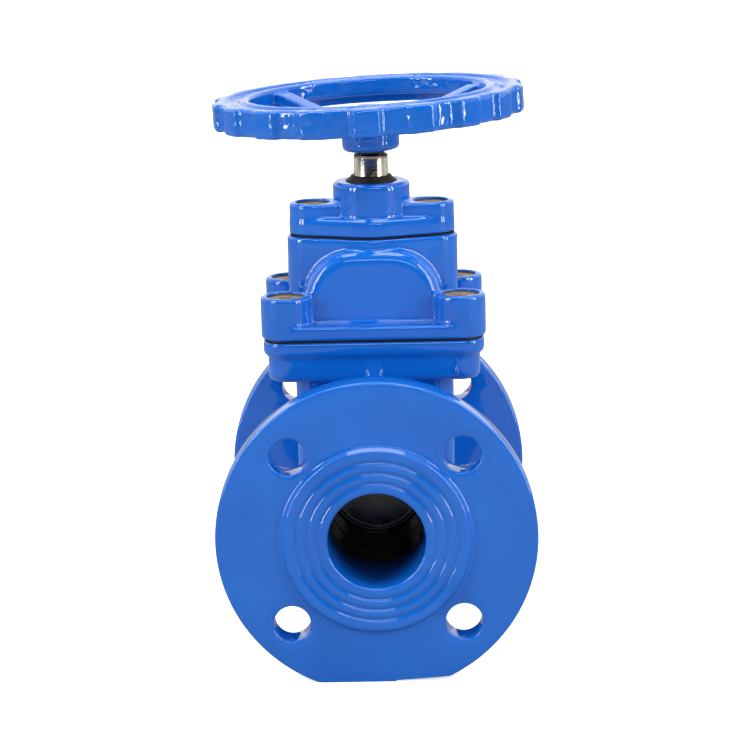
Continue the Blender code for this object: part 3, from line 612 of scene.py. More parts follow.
def span(side: int, near: float, far: float) -> tuple[float, float]:
    """Low and high ends of a span that runs outwards on one side of the middle."""
    return (near, far) if side > 0 else (-far, -near)


def guide_groove(side: int, low: float, high: float) -> bpy.types.Object:
    """Tool for the groove that a guide shoe of the gate runs in."""
    return block("groove", span(side, SIZES.groove_inner_x, SIZES.groove_x),
                 (-SIZES.groove_half_y, SIZES.groove_half_y), (low, high))


def joined(name: str, pieces: Sequence[bpy.types.Object]) -> bpy.types.Object:
    """Joins objects into the first of them, without a Boolean."""
    activate(pieces[0])
    for piece in pieces[1:]:
        piece.select_set(True)
    if len(pieces) > 1:
        bpy.ops.object.join()
    pieces[0].name = name
    return pieces[0]


def hull(name: str, pieces: Sequence[bpy.types.Object]) -> bpy.types.Object:
    """Wraps the pieces in their convex hull, with flat faces dissolved to one."""
    obj = joined(name, pieces)
    activate(obj)
    bpy.ops.object.mode_set(mode="EDIT")
    bpy.ops.mesh.select_all(action="SELECT")
    bpy.ops.mesh.convex_hull()
    bpy.ops.mesh.select_all(action="SELECT")
    bpy.ops.mesh.dissolve_limited(angle_limit=math.radians(0.5))
    bpy.ops.object.mode_set(mode="OBJECT")
    return obj


def plate(name: str, discs: Iterable[Disc], low: float, high: float,
          axis: Axis = Axis.STEM) -> bpy.types.Object:
    """Plate whose outline is drawn tight round discs.

    Args:
        name: name of the object.
        discs: (x, y, radius) of each disc; on the pipe axis, y counts up from the pipe.
        low: lower face along the axis.
        high: upper face along the axis.
        axis: direction of the plate's thickness.

    Returns:
        The plate, with sharp edges.
    """
    return hull(name, [rod(name, r, low, high, x, y, axis) for x, y, r in discs])


def soften_ends(obj: bpy.types.Object, axis: Axis, radius: float, segments: int = 4,
                only: Optional[Callable[[float], bool]] = None) -> None:
    """Bevels the edges round the flat ends of a plate.

    Args:
        obj: the plate.
        axis: direction of its thickness.
        radius: radius of the bevel.
        segments: segments across the bevel.
        only: test on the end's height along the axis, where only one end is bevelled.
    """
    way = Vector((0, 1, 0)) if axis is Axis.PIPE else Vector((0, 0, 1))
    activate(obj)
    bpy.ops.object.mode_set(mode="EDIT")
    bpy.ops.mesh.select_mode(type="FACE")
    bpy.ops.mesh.select_all(action="DESELECT")
    mesh = bmesh.from_edit_mesh(obj.data)
    for face in mesh.faces:
        height = face.calc_center_median().dot(way)
        face.select_set(abs(face.normal.dot(way)) > 0.99 and (only is None or only(height)))
    bmesh.update_edit_mesh(obj.data)
    bpy.ops.mesh.region_to_loop()
    bpy.ops.mesh.bevel(offset=radius, segments=segments, profile=0.5, affect="EDGES", clamp_overlap=False)
    bpy.ops.mesh.select_mode(type="VERT")
    bpy.ops.object.mode_set(mode="OBJECT")


def combine(obj: bpy.types.Object, tool: bpy.types.Object, operation: str) -> None:
    """Applies a Boolean with a tool piece, which is then removed."""
    apply_modifier(obj, "BOOLEAN", operation=operation, object=tool, solver="EXACT")
    bpy.data.objects.remove(tool)


def add_all(obj: bpy.types.Object, tools: Iterable[bpy.types.Object]) -> None:
    """Joins each tool piece to the object."""
    for tool in tools:
        combine(obj, tool, "UNION")


def cut_all(obj: bpy.types.Object, tools: Iterable[bpy.types.Object]) -> None:
    """Cuts each tool piece out of the object."""
    for tool in tools:
        combine(obj, tool, "DIFFERENCE")


def cast(obj: bpy.types.Object, voxel: float, passes: int, keep: float = 1.0, wave: float = 0.0,
         wave_mm: float = 7.0) -> None:
    """Softens a fused shape as sand casting and a thick coat of paint do.

    Args:
        obj: the fused shape.
        voxel: size of the remesh.
        passes: smoothing passes, which set how round the edges and inner corners get.
        keep: share of the triangles that is kept.
        wave: height of the casting's waviness.
        wave_mm: size of the waves in millimetres.
    """
    apply_modifier(obj, "REMESH", mode="VOXEL", voxel_size=voxel)
    apply_modifier(obj, "SMOOTH", factor=0.6, iterations=passes)
    if wave:
        pattern = bpy.data.textures.new(f"{obj.name}_waves", "CLOUDS")
        pattern.noise_scale = wave_mm * MM
        pattern.noise_depth = 2
        apply_modifier(obj, "DISPLACE", texture=pattern, texture_coords="LOCAL", strength=wave,
                       mid_level=0.55)
    if keep < 1.0:
        apply_modifier(obj, "DECIMATE", ratio=keep)


def shade(obj: bpy.types.Object, angle: float = 35.0) -> None:
    """Smooth shading, with edges over the angle in degrees kept sharp."""
    activate(obj)
    bpy.ops.object.shade_smooth_by_angle(angle=math.radians(angle))


def arc(x: float, y: float, radius: float, start: float, end: float, steps: int = 6) -> Profile:
    """Points on an arc.

    Args:
        x: centre's radius from the axis.
        y: centre's height.
        radius: arc's radius.
        start: first angle in degrees.
        end: last angle in degrees.
        steps: number of spans.

    Returns:
        The arc's points, both ends included.
    """
    angles = [math.radians(start + (end - start) * i / steps) for i in range(steps + 1)]
    return [(x + radius * math.cos(a), y + radius * math.sin(a)) for a in angles]


def fit(piece: bpy.types.Object, material: bpy.types.Material, body: Body, slot: str,
        *nodes: str) -> bpy.types.Object:
    """Dresses a finished piece and sets it on its body.

    Args:
        piece: the finished piece.
        material: its material.
        body: body that it rides on.
        slot: the record's material slot; not used.
        nodes: CAD nodes that it stands for.

    Returns:
        The piece.
    """
    piece.data.materials.clear()
    piece.data.materials.append(material)
    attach(piece, body.value)
    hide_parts(*nodes)
    LOG.info("%s: %d faces on %s", piece.name, len(piece.data.polygons), body.value)
    return piece


# ---------------------------------------------------------------- body


@dataclass
class PipeFlange:
    """One end of the body: the drilled flange with its raised face, and the pipe behind it."""

    name: str
    side: int
    outer_r: float = 82.5 * MM
    back_y: float = 70 * MM
    raised_r: float = 48 * MM
    raised_h: float = 3 * MM
    root_fillet: float = 8 * MM
    inner_y: float = 17.4 * MM
    bolt_circle_r: float = 62.5 * MM
    hole_r: float = 9.5 * MM
    groove_radii: tuple[float, ...] = (30.6 * MM, 36.1 * MM, 41.6 * MM)
    groove_depth: float = 0.75 * MM
    groove_half: float = 1.7 * MM

    def face(self) -> Profile:
        """Raised face from the bore outwards: soft grooves, then a rounded edge."""
        top = SIZES.face_y
        points = arc(SIZES.bore_r + 1.6 * MM, top - 1.6 * MM, 1.6 * MM, 180, 90, 5)
        for middle in self.groove_radii:
            for i in range(-4, 5):
                dip = 0.5 * self.groove_depth * (1 + math.cos(math.pi * i / 4))
                points.append((middle + self.groove_half * i / 4, top - dip))
        points += arc(self.raised_r - 1.4 * MM, top - 1.4 * MM, 1.4 * MM, 90, 25, 5)
        return points

    def profile(self) -> Profile:
        """Whole section, from the bore's inner end round to the pipe's outside."""
        rim_y = SIZES.face_y - self.raised_h
        points = [(SIZES.bore_r, self.inner_y)] + self.face()
        points += arc(self.raised_r + 2.7 * MM, rim_y + 2.4 * MM, 2.4 * MM, 200, 270, 6)
        points += [(self.outer_r - 12 * MM, rim_y)]
        points += arc(self.outer_r - 1.5 * MM, rim_y - 1.5 * MM, 1.5 * MM, 90, 0, 5)
        points += arc(self.outer_r - 1.8 * MM, self.back_y + 1.8 * MM, 1.8 * MM, 0, -90, 5)
        points += arc(SIZES.pipe_r + self.root_fillet, self.back_y - self.root_fillet,
                      self.root_fillet, 90, 180, 8)
        points += [(SIZES.pipe_r, self.inner_y)]
        return [(r, self.side * y) for r, y in points]

    def hole_cutter(self, x: float, z: float) -> bpy.types.Object:
        """Tool for a bolt hole, flared where the paint rounds the hole's edges, with a faint spot face."""
        flare, spot_r, spot_depth = 1.2 * MM, 13.6 * MM, 0.14 * MM
        front, back = SIZES.face_y - self.raised_h, self.back_y
        points: Profile = [(0, back - 5 * MM), (self.hole_r + flare, back - 5 * MM)]
        points += arc(self.hole_r + flare, back + flare, flare, 255, 180, 4)
        points += arc(self.hole_r + flare, front - spot_depth - flare, flare, 180, 100, 4)
        points += [(spot_r, front - spot_depth), (spot_r + 0.4 * MM, front + MM), (0, front + MM)]
        points = [(r, self.side * y) for r, y in points]
        return spun("hole_cutter", points, Axis.PIPE, 40, Vector((x, 0, SIZES.pipe_z + z)))

    def foot_cutters(self) -> list[bpy.types.Object]:
        """Tools for the flat foot; the inlet's foot was ground a second time, a little askew."""
        reach = 2 * self.outer_r
        tools = [block("foot_cutter", (-reach, reach), (-reach, reach), (-reach, 0))]
        if self.side < 0:
            askew = block("foot_cutter", (0, reach), (-reach, 0), (-10 * MM, 0))
            askew.matrix_world = (Matrix.Translation((8.7 * MM, 0, 0.6 * MM))
                                  @ Matrix.Rotation(-math.radians(3.6), 4, "Y"))
            apply_place(askew)
            tools.append(askew)
        return tools

    def build(self, finishes: Finishes) -> None:
        """Spins the flange, drills it, grinds its foot and paints it."""
        flange = spun(self.name, self.profile(), Axis.PIPE, 160, Vector((0, 0, SIZES.pipe_z)))
        reach = self.bolt_circle_r * math.sqrt(0.5)
        cut_all(flange, [self.hole_cutter(sx * reach, sz * reach) for sx in (1, -1) for sz in (1, -1)])
        cut_all(flange, self.foot_cutters())
        clean(flange)
        shade(flange, 28)
        fit(flange, finishes.paint, Body.CASING, "blue_epoxy", "body")


@dataclass
class BodyCasting:
    """Chamber in which the gate travels, with its ribs and the flange under the bonnet."""

    chamber_r: float = 41.8 * MM
    half_y: float = 27.5 * MM
    edge_r: float = 10 * MM
    flange_z: float = 147 * MM
    lip_z: float = 161.3 * MM
    corner_r: float = 9.9 * MM
    lip_r: float = 12.3 * MM
    rib_half: float = 3.4 * MM
    pipe_end_r: float = 29.5 * MM
    pipe_end_y: float = 40 * MM
    tapped_low_z: float = 149.5 * MM

    def chamber(self) -> bpy.types.Object:
        """Round-bottomed, straight-sided chamber with well-rounded edges."""
        shoulder = 12 * MM
        top = self.flange_z + 4 * MM - SIZES.pipe_z
        discs = [(0.0, 0.0, self.chamber_r)]
        discs += [(sx * (self.chamber_r - shoulder), top, shoulder) for sx in (1, -1)]
        obj = plate("body_chamber", discs, -self.half_y, self.half_y, Axis.PIPE)
        soften_ends(obj, Axis.PIPE, self.edge_r, 6)
        return obj

    def top_flange(self) -> list[bpy.types.Object]:
        """Lower stage with a rounded underside, and the wider lip on top of it."""
        lower = plate("body_stage", [(x, y, self.corner_r) for x, y in SIZES.bonnet_screws()],
                      self.flange_z, self.lip_z + 2 * MM)
        soften_ends(lower, Axis.STEM, 4 * MM, 4, lambda z: z < self.flange_z + MM)
        lip = plate("body_lip", [(x, y, self.lip_r) for x, y in SIZES.bonnet_screws()],
                    self.lip_z, SIZES.body_top_z + 0.2 * MM)
        soften_ends(lip, Axis.STEM, 1.6 * MM, 3, lambda z: z < self.lip_z + MM)
        return [lower, lip]

    def rib(self, side: int) -> bpy.types.Object:
        """Upright web that runs down from the top flange to the pipe."""
        def slab(y_out: float, z: float) -> bpy.types.Object:
            """Thin level slice of the web, out to the depth given."""
            return block("rib", (-self.rib_half, self.rib_half), span(side, 12 * MM, y_out),
                         (z - 0.5 * MM, z + 0.5 * MM))

        stations = ((36.7, 160.0), (37.9, 155.5), (39.2, 150.5), (45.5, 128.0), (57.5, 106.0), (57.5, 98.0))
        spans = [hull("rib", [slab(y0 * MM, z0 * MM), slab(y1 * MM, z1 * MM)])
                 for (y0, z0), (y1, z1) in zip(stations, stations[1:])]
        return joined("rib", spans)

    def paint_run(self) -> bpy.types.Object:
        """Drip of paint that set on the front of the flange's lower stage, with a bead at its end."""
        def bead(radius: float, z: float) -> bpy.types.Object:
            """Ball of paint half sunk in the flange's front."""
            deselect_all()
            bpy.ops.mesh.primitive_uv_sphere_add(segments=20, ring_count=12, radius=radius * MM,
                                                 location=(43 * MM, -37.1 * MM, z * MM))
            apply_place(bpy.context.object)
            return bpy.context.object

        return joined("paint_run", [hull("paint_run", [bead(0.45, 160.0), bead(0.5, 155.5)]),
                                    hull("paint_run", [bead(0.5, 155.5), bead(1.2, 152.2)])])

    def hollows(self) -> list[bpy.types.Object]:
        """Tools for the gate's cavity, its guide grooves, the pipe and the tapped holes."""
        top_z = SIZES.body_top_z + 4 * MM
        cavity = hull("cavity", [
            rod("cavity", SIZES.cavity_r, -SIZES.cavity_half_y, SIZES.cavity_half_y, axis=Axis.PIPE),
            block("cavity", (-SIZES.cavity_r, SIZES.cavity_r),
                  (-SIZES.cavity_top_half_y, SIZES.cavity_top_half_y), (top_z - MM, top_z))])
        tools = [cavity, rod("pipe", self.pipe_end_r, -self.pipe_end_y, self.pipe_end_y, axis=Axis.PIPE)]
        for side in (1, -1):
            tools.append(guide_groove(side, SIZES.groove_low_z, top_z))
        tools += [rod("tapped", SIZES.tapped_r, self.tapped_low_z, top_z, x, y)
                  for x, y in SIZES.bonnet_screws()]
        return tools

    def build(self, finishes: Finishes) -> None:
        """Fuses, hollows, softens and paints the casting."""
        body = self.chamber()
        add_all(body, self.top_flange())
        solid = joined("body_casting", [body, self.rib(1), self.rib(-1)])
        cast(solid, 0.8 * MM, 4)
        cut_all(solid, self.hollows())
        cast(solid, 0.75 * MM, 3, keep=0.6, wave=0.3 * MM, wave_mm=11)
        solid = joined("body_casting", [solid, self.paint_run()])
        shade(solid, 60)
        fit(solid, finishes.paint, Body.CASING, "blue_epoxy", "body")


# ---------------------------------------------------------------- bonnet and gland


@dataclass
class BonnetCasting:
    """Bonnet: bolted flange with four bosses, a D-shaped bulge over the gate and a block for the gland."""

    low_z: float = 170.3 * MM
    flange_top_z: float = 177.5 * MM
    boss_r: float = 13.2 * MM
    bulge_half_x: float = 35.8 * MM
    bulge_half_y: float = 27.5 * MM
    bulge_top_z: float = 214.6 * MM
    bulge_arch_r: float = 27 * MM
    bulge_edge_r: float = 6.5 * MM
    block_end: tuple[float, float] = (32.2 * MM, 12.9 * MM)
    block_mid_r: float = 23.4 * MM
    block_top_z: float = 219.7 * MM
    stem_hole_r: float = 9.6 * MM
    collar_bore_r: float = 18.3 * MM
    collar_bore_z: float = 209.3 * MM
    above_z: float = 225 * MM

    def solids(self) -> list[bpy.types.Object]:
        """Flange, bosses, the webs between them, the bulge and the gland block."""
        flange = plate("bonnet_flange", [(x, y, self.boss_r) for x, y in SIZES.bonnet_screws()],
                       self.low_z, self.flange_top_z)
        soften_ends(flange, Axis.STEM, 1.2 * MM, 3, lambda z: z > self.low_z + MM)
        made = [flange]
        for x, y in SIZES.bonnet_screws():
            boss = rod("boss", self.boss_r, self.low_z + MM, SIZES.boss_top_z, x, y, segments=56)
            soften_ends(boss, Axis.STEM, 1.4 * MM, 4, lambda z: z > self.flange_top_z)
            made.append(boss)
        for side in (1, -1):
            made.append(block("web", (-SIZES.screw_x, SIZES.screw_x),
                              span(side, SIZES.screw_y - 9 * MM, SIZES.screw_y - 1.2 * MM),
                              (self.low_z + MM, SIZES.boss_top_z - 3 * MM)))
        trace_r = 12 * MM
        inner, up = self.bulge_half_x - self.bulge_arch_r, self.bulge_top_z - self.bulge_arch_r - SIZES.pipe_z
        discs = [(sx * (x + inner), z + up, trace_r) for sx in (1, -1)
                 for x, z in arc(0, 0, self.bulge_arch_r - trace_r, 0, 90, 7)]
        foot_r = self.bulge_edge_r + 0.5 * MM
        discs += [(sx * (self.bulge_half_x - foot_r), self.low_z + 7 * MM - SIZES.pipe_z, foot_r)
                  for sx in (1, -1)]
        bulge = plate("bulge", discs, -self.bulge_half_y, self.bulge_half_y, Axis.PIPE)
        soften_ends(bulge, Axis.PIPE, self.bulge_edge_r, 5)
        made.append(bulge)
        end_x, end_r = self.block_end
        top = plate("gland_block", [(end_x, 0, end_r), (0, 0, self.block_mid_r), (-end_x, 0, end_r)],
                    self.low_z + 3 * MM, self.block_top_z)
        soften_ends(top, Axis.STEM, MM, 3, lambda z: z > self.flange_top_z)
        made.append(top)
        return made

    def hollows(self) -> list[bpy.types.Object]:
        """Tools for the gate's cavity, the guide grooves, the stem and the screws."""
        deep = self.low_z - 3 * MM
        top_r = 16 * MM
        discs = [(sx * (SIZES.cavity_r - top_r), SIZES.cavity_top_z - top_r - SIZES.pipe_z, top_r)
                 for sx in (1, -1)]
        discs += [(sx * (SIZES.cavity_r - 2 * MM), deep - SIZES.pipe_z, 2 * MM) for sx in (1, -1)]
        tools = [plate("cavity", discs, -SIZES.cavity_top_half_y, SIZES.cavity_top_half_y, Axis.PIPE)]
        for side in (1, -1):
            tools.append(guide_groove(side, deep, SIZES.groove_top_z))
            tools.append(rod("tapped", SIZES.tapped_r, 203.5 * MM, 222 * MM, side * SIZES.gland_screw_x))
        tools.append(rod("stem_hole", self.stem_hole_r, 195 * MM, self.above_z))
        tools.append(rod("collar_bore", self.collar_bore_r, self.collar_bore_z, self.above_z, segments=64))
        for x, y in SIZES.bonnet_screws():
            tools.append(rod("screw_hole", SIZES.screw_hole_r, deep, 185 * MM, x, y))
            tools.append(rod("counterbore", SIZES.counterbore_r, SIZES.counterbore_z, 200 * MM, x, y,
                             segments=56))
        return tools

    def build(self, finishes: Finishes) -> None:
        """Fuses, hollows, softens and paints the bonnet."""
        bonnet = joined("bonnet_casting", self.solids())
        cast(bonnet, 0.6 * MM, 7)
        cut_all(bonnet, self.hollows())
        cast(bonnet, 0.6 * MM, 2, keep=0.55, wave=0.35 * MM, wave_mm=9)
        shade(bonnet, 60)
        fit(bonnet, finishes.paint, Body.CASING, "blue_epoxy", "bonnet")


@dataclass
class GlandCover:
    """Cover that holds the stem's bush: a lozenge plate, a raised bar and a round boss."""

    low_z: float = 220.9 * MM
    plate_top_z: float = 230 * MM
    top_z: float = 248.2 * MM
    end_r: float = 12.7 * MM
    mid_r: float = 22.9 * MM
    boss_r: float = 20.3 * MM
    bar_end_r: float = 12.4 * MM
    spigot_r: float = 18 * MM
    spigot_low_z: float = 218.7 * MM

    def solids(self) -> list[bpy.types.Object]:
        """Plate, bar, boss and spigot."""
        ends = SIZES.gland_screw_x
        base = plate("gland_plate", [(ends, 0, self.end_r), (0, 0, self.mid_r), (-ends, 0, self.end_r)],
                     self.low_z, self.plate_top_z)
        soften_ends(base, Axis.STEM, 2.4 * MM, 4, lambda z: z > self.low_z + MM)
        bar = plate("gland_bar", [(ends, 0, self.bar_end_r), (-ends, 0, self.bar_end_r)],
                    self.low_z + 2 * MM, SIZES.gland_bar_top_z)
        soften_ends(bar, Axis.STEM, 1.3 * MM, 4, lambda z: z > self.plate_top_z)
        boss = rod("gland_boss", self.boss_r, self.low_z + 2 * MM, self.top_z, segments=72)
        soften_ends(boss, Axis.STEM, 2.2 * MM, 5, lambda z: z > self.plate_top_z)
        spigot = rod("gland_spigot", self.spigot_r, self.spigot_low_z, self.low_z + 3 * MM, segments=64)
        return [base, bar, boss, spigot]

    def hollows(self) -> list[bpy.types.Object]:
        """Tools for the bush, the wiper and the screws."""
        bush = [(0, 210), (14.3, 210), (14.3, 241.8), (10.5, 241.8), (10.5, 245.2), (13.5, 245.2),
                (13.5, 255), (0, 255)]
        tools = [spun("bush_bore", [(r * MM, z * MM) for r, z in bush], steps=56)]
        for x, y in SIZES.gland_screws():
            tools.append(rod("screw_hole", SIZES.screw_hole_r, 210 * MM, 235 * MM, x, y))
            tools.append(rod("counterbore", SIZES.gland_counterbore_r, 226 * MM, 245 * MM, x, y, segments=56))
        return tools

    def build(self, finishes: Finishes) -> None:
        """Fuses, hollows, softens and paints the cover."""
        cover = joined("gland_cover_casting", self.solids())
        cast(cover, 0.5 * MM, 10)
        cut_all(cover, self.hollows())
        cast(cover, 0.5 * MM, 3, keep=0.6, wave=0.2 * MM, wave_mm=8)
        shade(cover, 60)
        fit(cover, finishes.paint, Body.CASING, "blue_epoxy", "gland_cover")


@dataclass
class WaxPlug:
    """Wax that fills a counterbore over its screw."""

    node: str
    x: float
    y: float
    radius: float
    low_z: float
    top_z: float
    sag: float

    def build(self, finishes: Finishes) -> None:
        """Spins the plug with a meniscus at its wall and a dimple at its middle, and lets it set unevenly."""
        r, top = self.radius, self.top_z - 0.6 * MM
        drops = ((1, 0.2, 0), (0.975, 0.5, 0), (0.92, 0.9, 0), (0.84, 0.75, 0), (0.7, 0.5, 0),
                 (0.55, 0.45, 0), (0.4, 0.5, 0.3), (0.27, 0.6, 1), (0.12, 0.65, 1.2), (0, 0.65, 1.2))
        profile: Profile = [(0, self.low_z), (r, self.low_z)]
        profile += [(share * r, top - drop * MM - dimple * self.sag) for share, drop, dimple in drops]
        plug = spun(f"{self.node}_set", profile, steps=48, centre=Vector((self.x, self.y, 0)))
        pattern = bpy.data.textures.new(f"{self.node}_ripple", "CLOUDS")
        pattern.noise_scale = 4 * MM
        apply_modifier(plug, "DISPLACE", texture=pattern, texture_coords="LOCAL", strength=0.35 * MM,
                       mid_level=0.7)
        reach = plug.data.attributes.new("reach", "FLOAT", "POINT")
        for vert, value in zip(plug.data.vertices, reach.data):
            value.value = math.hypot(vert.co.x - self.x, vert.co.y - self.y) / r
        shade(plug, 50)
        fit(plug, finishes.wax, Body.CASING, "sealing_wax", self.node)


# ---------------------------------------------------------------- stem and its wiper


@dataclass
class Stem:
    """Stem: trapezoidal left-hand thread below, thrust collar, polished shaft and the wheel's square."""

    bottom_z: float = 108 * MM
    thread_top_z: float = 188 * MM
    core_r: float = 6.9 * MM
    crest_r: float = 8.9 * MM
    pitch: float = 4 * MM
    collar_r: float = 16.8 * MM
    collar_z: tuple[float, float] = (211.5 * MM, 216.5 * MM)
    square_z: float = 262.6 * MM
    top_z: float = 277.5 * MM
    square_half: float = 7 * MM
    square_corner_r: float = 8.7 * MM
    bolt_hole_r: float = 4.2 * MM
    bolt_hole_z: float = 259 * MM

    def shaft(self) -> bpy.types.Object:
        """Turned shaft with its collar and a chamfer under the square."""
        r, edge = SIZES.stem_r, 0.5 * MM
        low, high = self.collar_z
        profile: Profile = [(0, self.bottom_z), (self.core_r - MM, self.bottom_z),
                            (self.core_r, self.bottom_z + MM),
                            (self.core_r, self.thread_top_z), (r - edge, self.thread_top_z + 2 * edge),
                            (r, self.thread_top_z + 3 * edge), (r, low), (self.collar_r - edge, low),
                            (self.collar_r, low + edge), (self.collar_r, high - edge),
                            (self.collar_r - edge, high), (r, high)]
        for drawn_in, down in ((0, 2.6), (0.12, 2.4), (0.12, 2.0), (0, 1.8), (0, 0.8), (0.8, 0)):
            profile.append((r - drawn_in * MM, self.square_z - down * MM))
        profile.append((0, self.square_z))
        return spun("stem_turned", profile, steps=96)

    def square(self) -> bpy.types.Object:
        """Square end with its corners turned down."""
        half = self.square_half
        square = block("square", (-half, half), (-half, half), (self.square_z - 2 * MM, self.top_z))
        barrel = rod("barrel", self.square_corner_r, self.square_z - 3 * MM, self.top_z + MM, segments=64)
        combine(square, barrel, "INTERSECT")
        combine(square, rod("bolt_hole", self.bolt_hole_r, self.bolt_hole_z, self.top_z + MM), "DIFFERENCE")
        return square

    def thread(self) -> bpy.types.Object:
        """Ridge of the thread, wound down from the top so that it turns left-handed."""
        half, crest = 0.32 * self.pitch, 0.18 * self.pitch
        start = self.thread_top_z - self.pitch
        corners = [(self.core_r - 0.4 * MM, half), (self.crest_r, crest), (self.crest_r, -crest),
                   (self.core_r - 0.4 * MM, -half), (self.core_r - 0.4 * MM, half)]
        ridge = wire("stem_thread", [Vector((r, 0, start + h)) for r, h in corners])
        turns = round((start - self.bottom_z) / self.pitch) - 1
        apply_modifier(ridge, "SCREW", axis="Z", angle=math.tau, screw_offset=-self.pitch, iterations=turns,
                       steps=28, render_steps=28, use_merge_vertices=False)
        activate(ridge)
        bpy.ops.object.mode_set(mode="EDIT")
        bpy.ops.mesh.select_all(action="DESELECT")
        bpy.ops.mesh.select_non_manifold()
        bpy.ops.mesh.edge_face_add()
        bpy.ops.mesh.select_all(action="SELECT")
        bpy.ops.mesh.normals_make_consistent(inside=False)
        bpy.ops.object.mode_set(mode="OBJECT")
        return ridge

    def build(self, finishes: Finishes) -> None:
        """Turns the shaft, adds its square and thread, and polishes it."""
        stem = joined("stem_turned", [self.shaft(), self.square(), self.thread()])
        shade(stem, 32)
        fit(stem, finishes.stainless, Body.SPINDLE, "stainless_steel", "stem")


@dataclass
class DustWiper:
    """Rubber wiper that leans in on the stem above the gland cover."""

    seat_z: float = 245.5 * MM
    shoulder_z: float = 248.6 * MM
    lip_z: float = 251.2 * MM
    outer_r: float = 13.2 * MM

    def build(self, finishes: Finishes) -> None:
        """Spins the wiper: a flat skirt, a cone and a rounded lip."""
        inner = SIZES.stem_r + 0.3 * MM
        profile: Profile = [(inner, self.seat_z), (self.outer_r, self.seat_z),
                            (self.outer_r, self.shoulder_z - 0.3 * MM)]
        profile += arc(self.outer_r - 0.5 * MM, self.shoulder_z - 0.2 * MM, 0.5 * MM, 0, 70, 3)
        profile += [(11.9 * MM, self.shoulder_z + 0.8 * MM), (11.0 * MM, self.lip_z - 0.8 * MM)]
        profile += arc(inner + 0.9 * MM, self.lip_z - 0.6 * MM, 0.6 * MM, 40, 110, 4)
        profile += [(inner, self.lip_z - 0.2 * MM)]
        wiper = spun("dust_wiper_lip", profile, steps=72)
        shade(wiper, 40)
        fit(wiper, finishes.wiper, Body.CASING, "brown_black_rubber", "dust_wiper")


# ---------------------------------------------------------------- gate


@dataclass
class GateRubber:
    """Rubber skin of the gate, with the raised ring that seals on the bore's edge."""

    radius: float = 30.9 * MM
    half_y: float = 16 * MM
    top_z: float = 106 * MM
    skin: float = 2.9 * MM
    ring_r: float = 24.4 * MM
    ring_rise: float = 9.6 * MM
    bead_r: float = 0.8 * MM
    lug_x: float = 37 * MM
    lug_half_y: float = 3.8 * MM
    lug_low_z: float = 77.7 * MM
    stem_hole_r: float = 10 * MM

    def arch(self, name: str, radius: float, half_y: float, top_z: float) -> bpy.types.Object:
        """Slab that is round below and straight-sided above."""
        up = top_z - SIZES.pipe_z
        discs = [(0.0, 0.0, radius)] + [(sx * (radius - 2 * MM), up - 2 * MM, 2 * MM) for sx in (1, -1)]
        return plate(name, discs, -half_y, half_y, Axis.PIPE)

    def build(self, finishes: Finishes) -> None:
        """Models the skin, hollows it over the iron core, and adds the sealing rings."""
        rubber = self.arch("gate_rubber", self.radius, self.half_y, self.top_z)
        soften_ends(rubber, Axis.PIPE, 2.4 * MM, 4)
        middle = Vector((0, 0, SIZES.pipe_z + self.ring_rise))
        rings = []
        for side in (1, -1):
            face = side * (self.half_y + 0.15 * MM)
            bead = arc(self.ring_r, face, self.bead_r, 0, 330, 11)
            rings.append(spun("seal_ring", bead, Axis.PIPE, 96, middle))
        add_all(rubber, rings)
        tools = [self.arch("core", self.radius - self.skin - 0.2 * MM, self.half_y - self.skin,
                           self.top_z + 6 * MM),
                 block("lug", (-self.lug_x, self.lug_x), (-self.lug_half_y, self.lug_half_y),
                       (self.lug_low_z, self.top_z + MM)),
                 rod("stem_hole", self.stem_hole_r, 20 * MM, SIZES.pipe_z)]
        cut_all(rubber, tools)
        cast(rubber, 0.55 * MM, 2, keep=0.5)
        shade(rubber, 60)
        fit(rubber, finishes.seal, Body.GATE, "black_rubber", "wedge_rubber")


# ---------------------------------------------------------------- handwheel


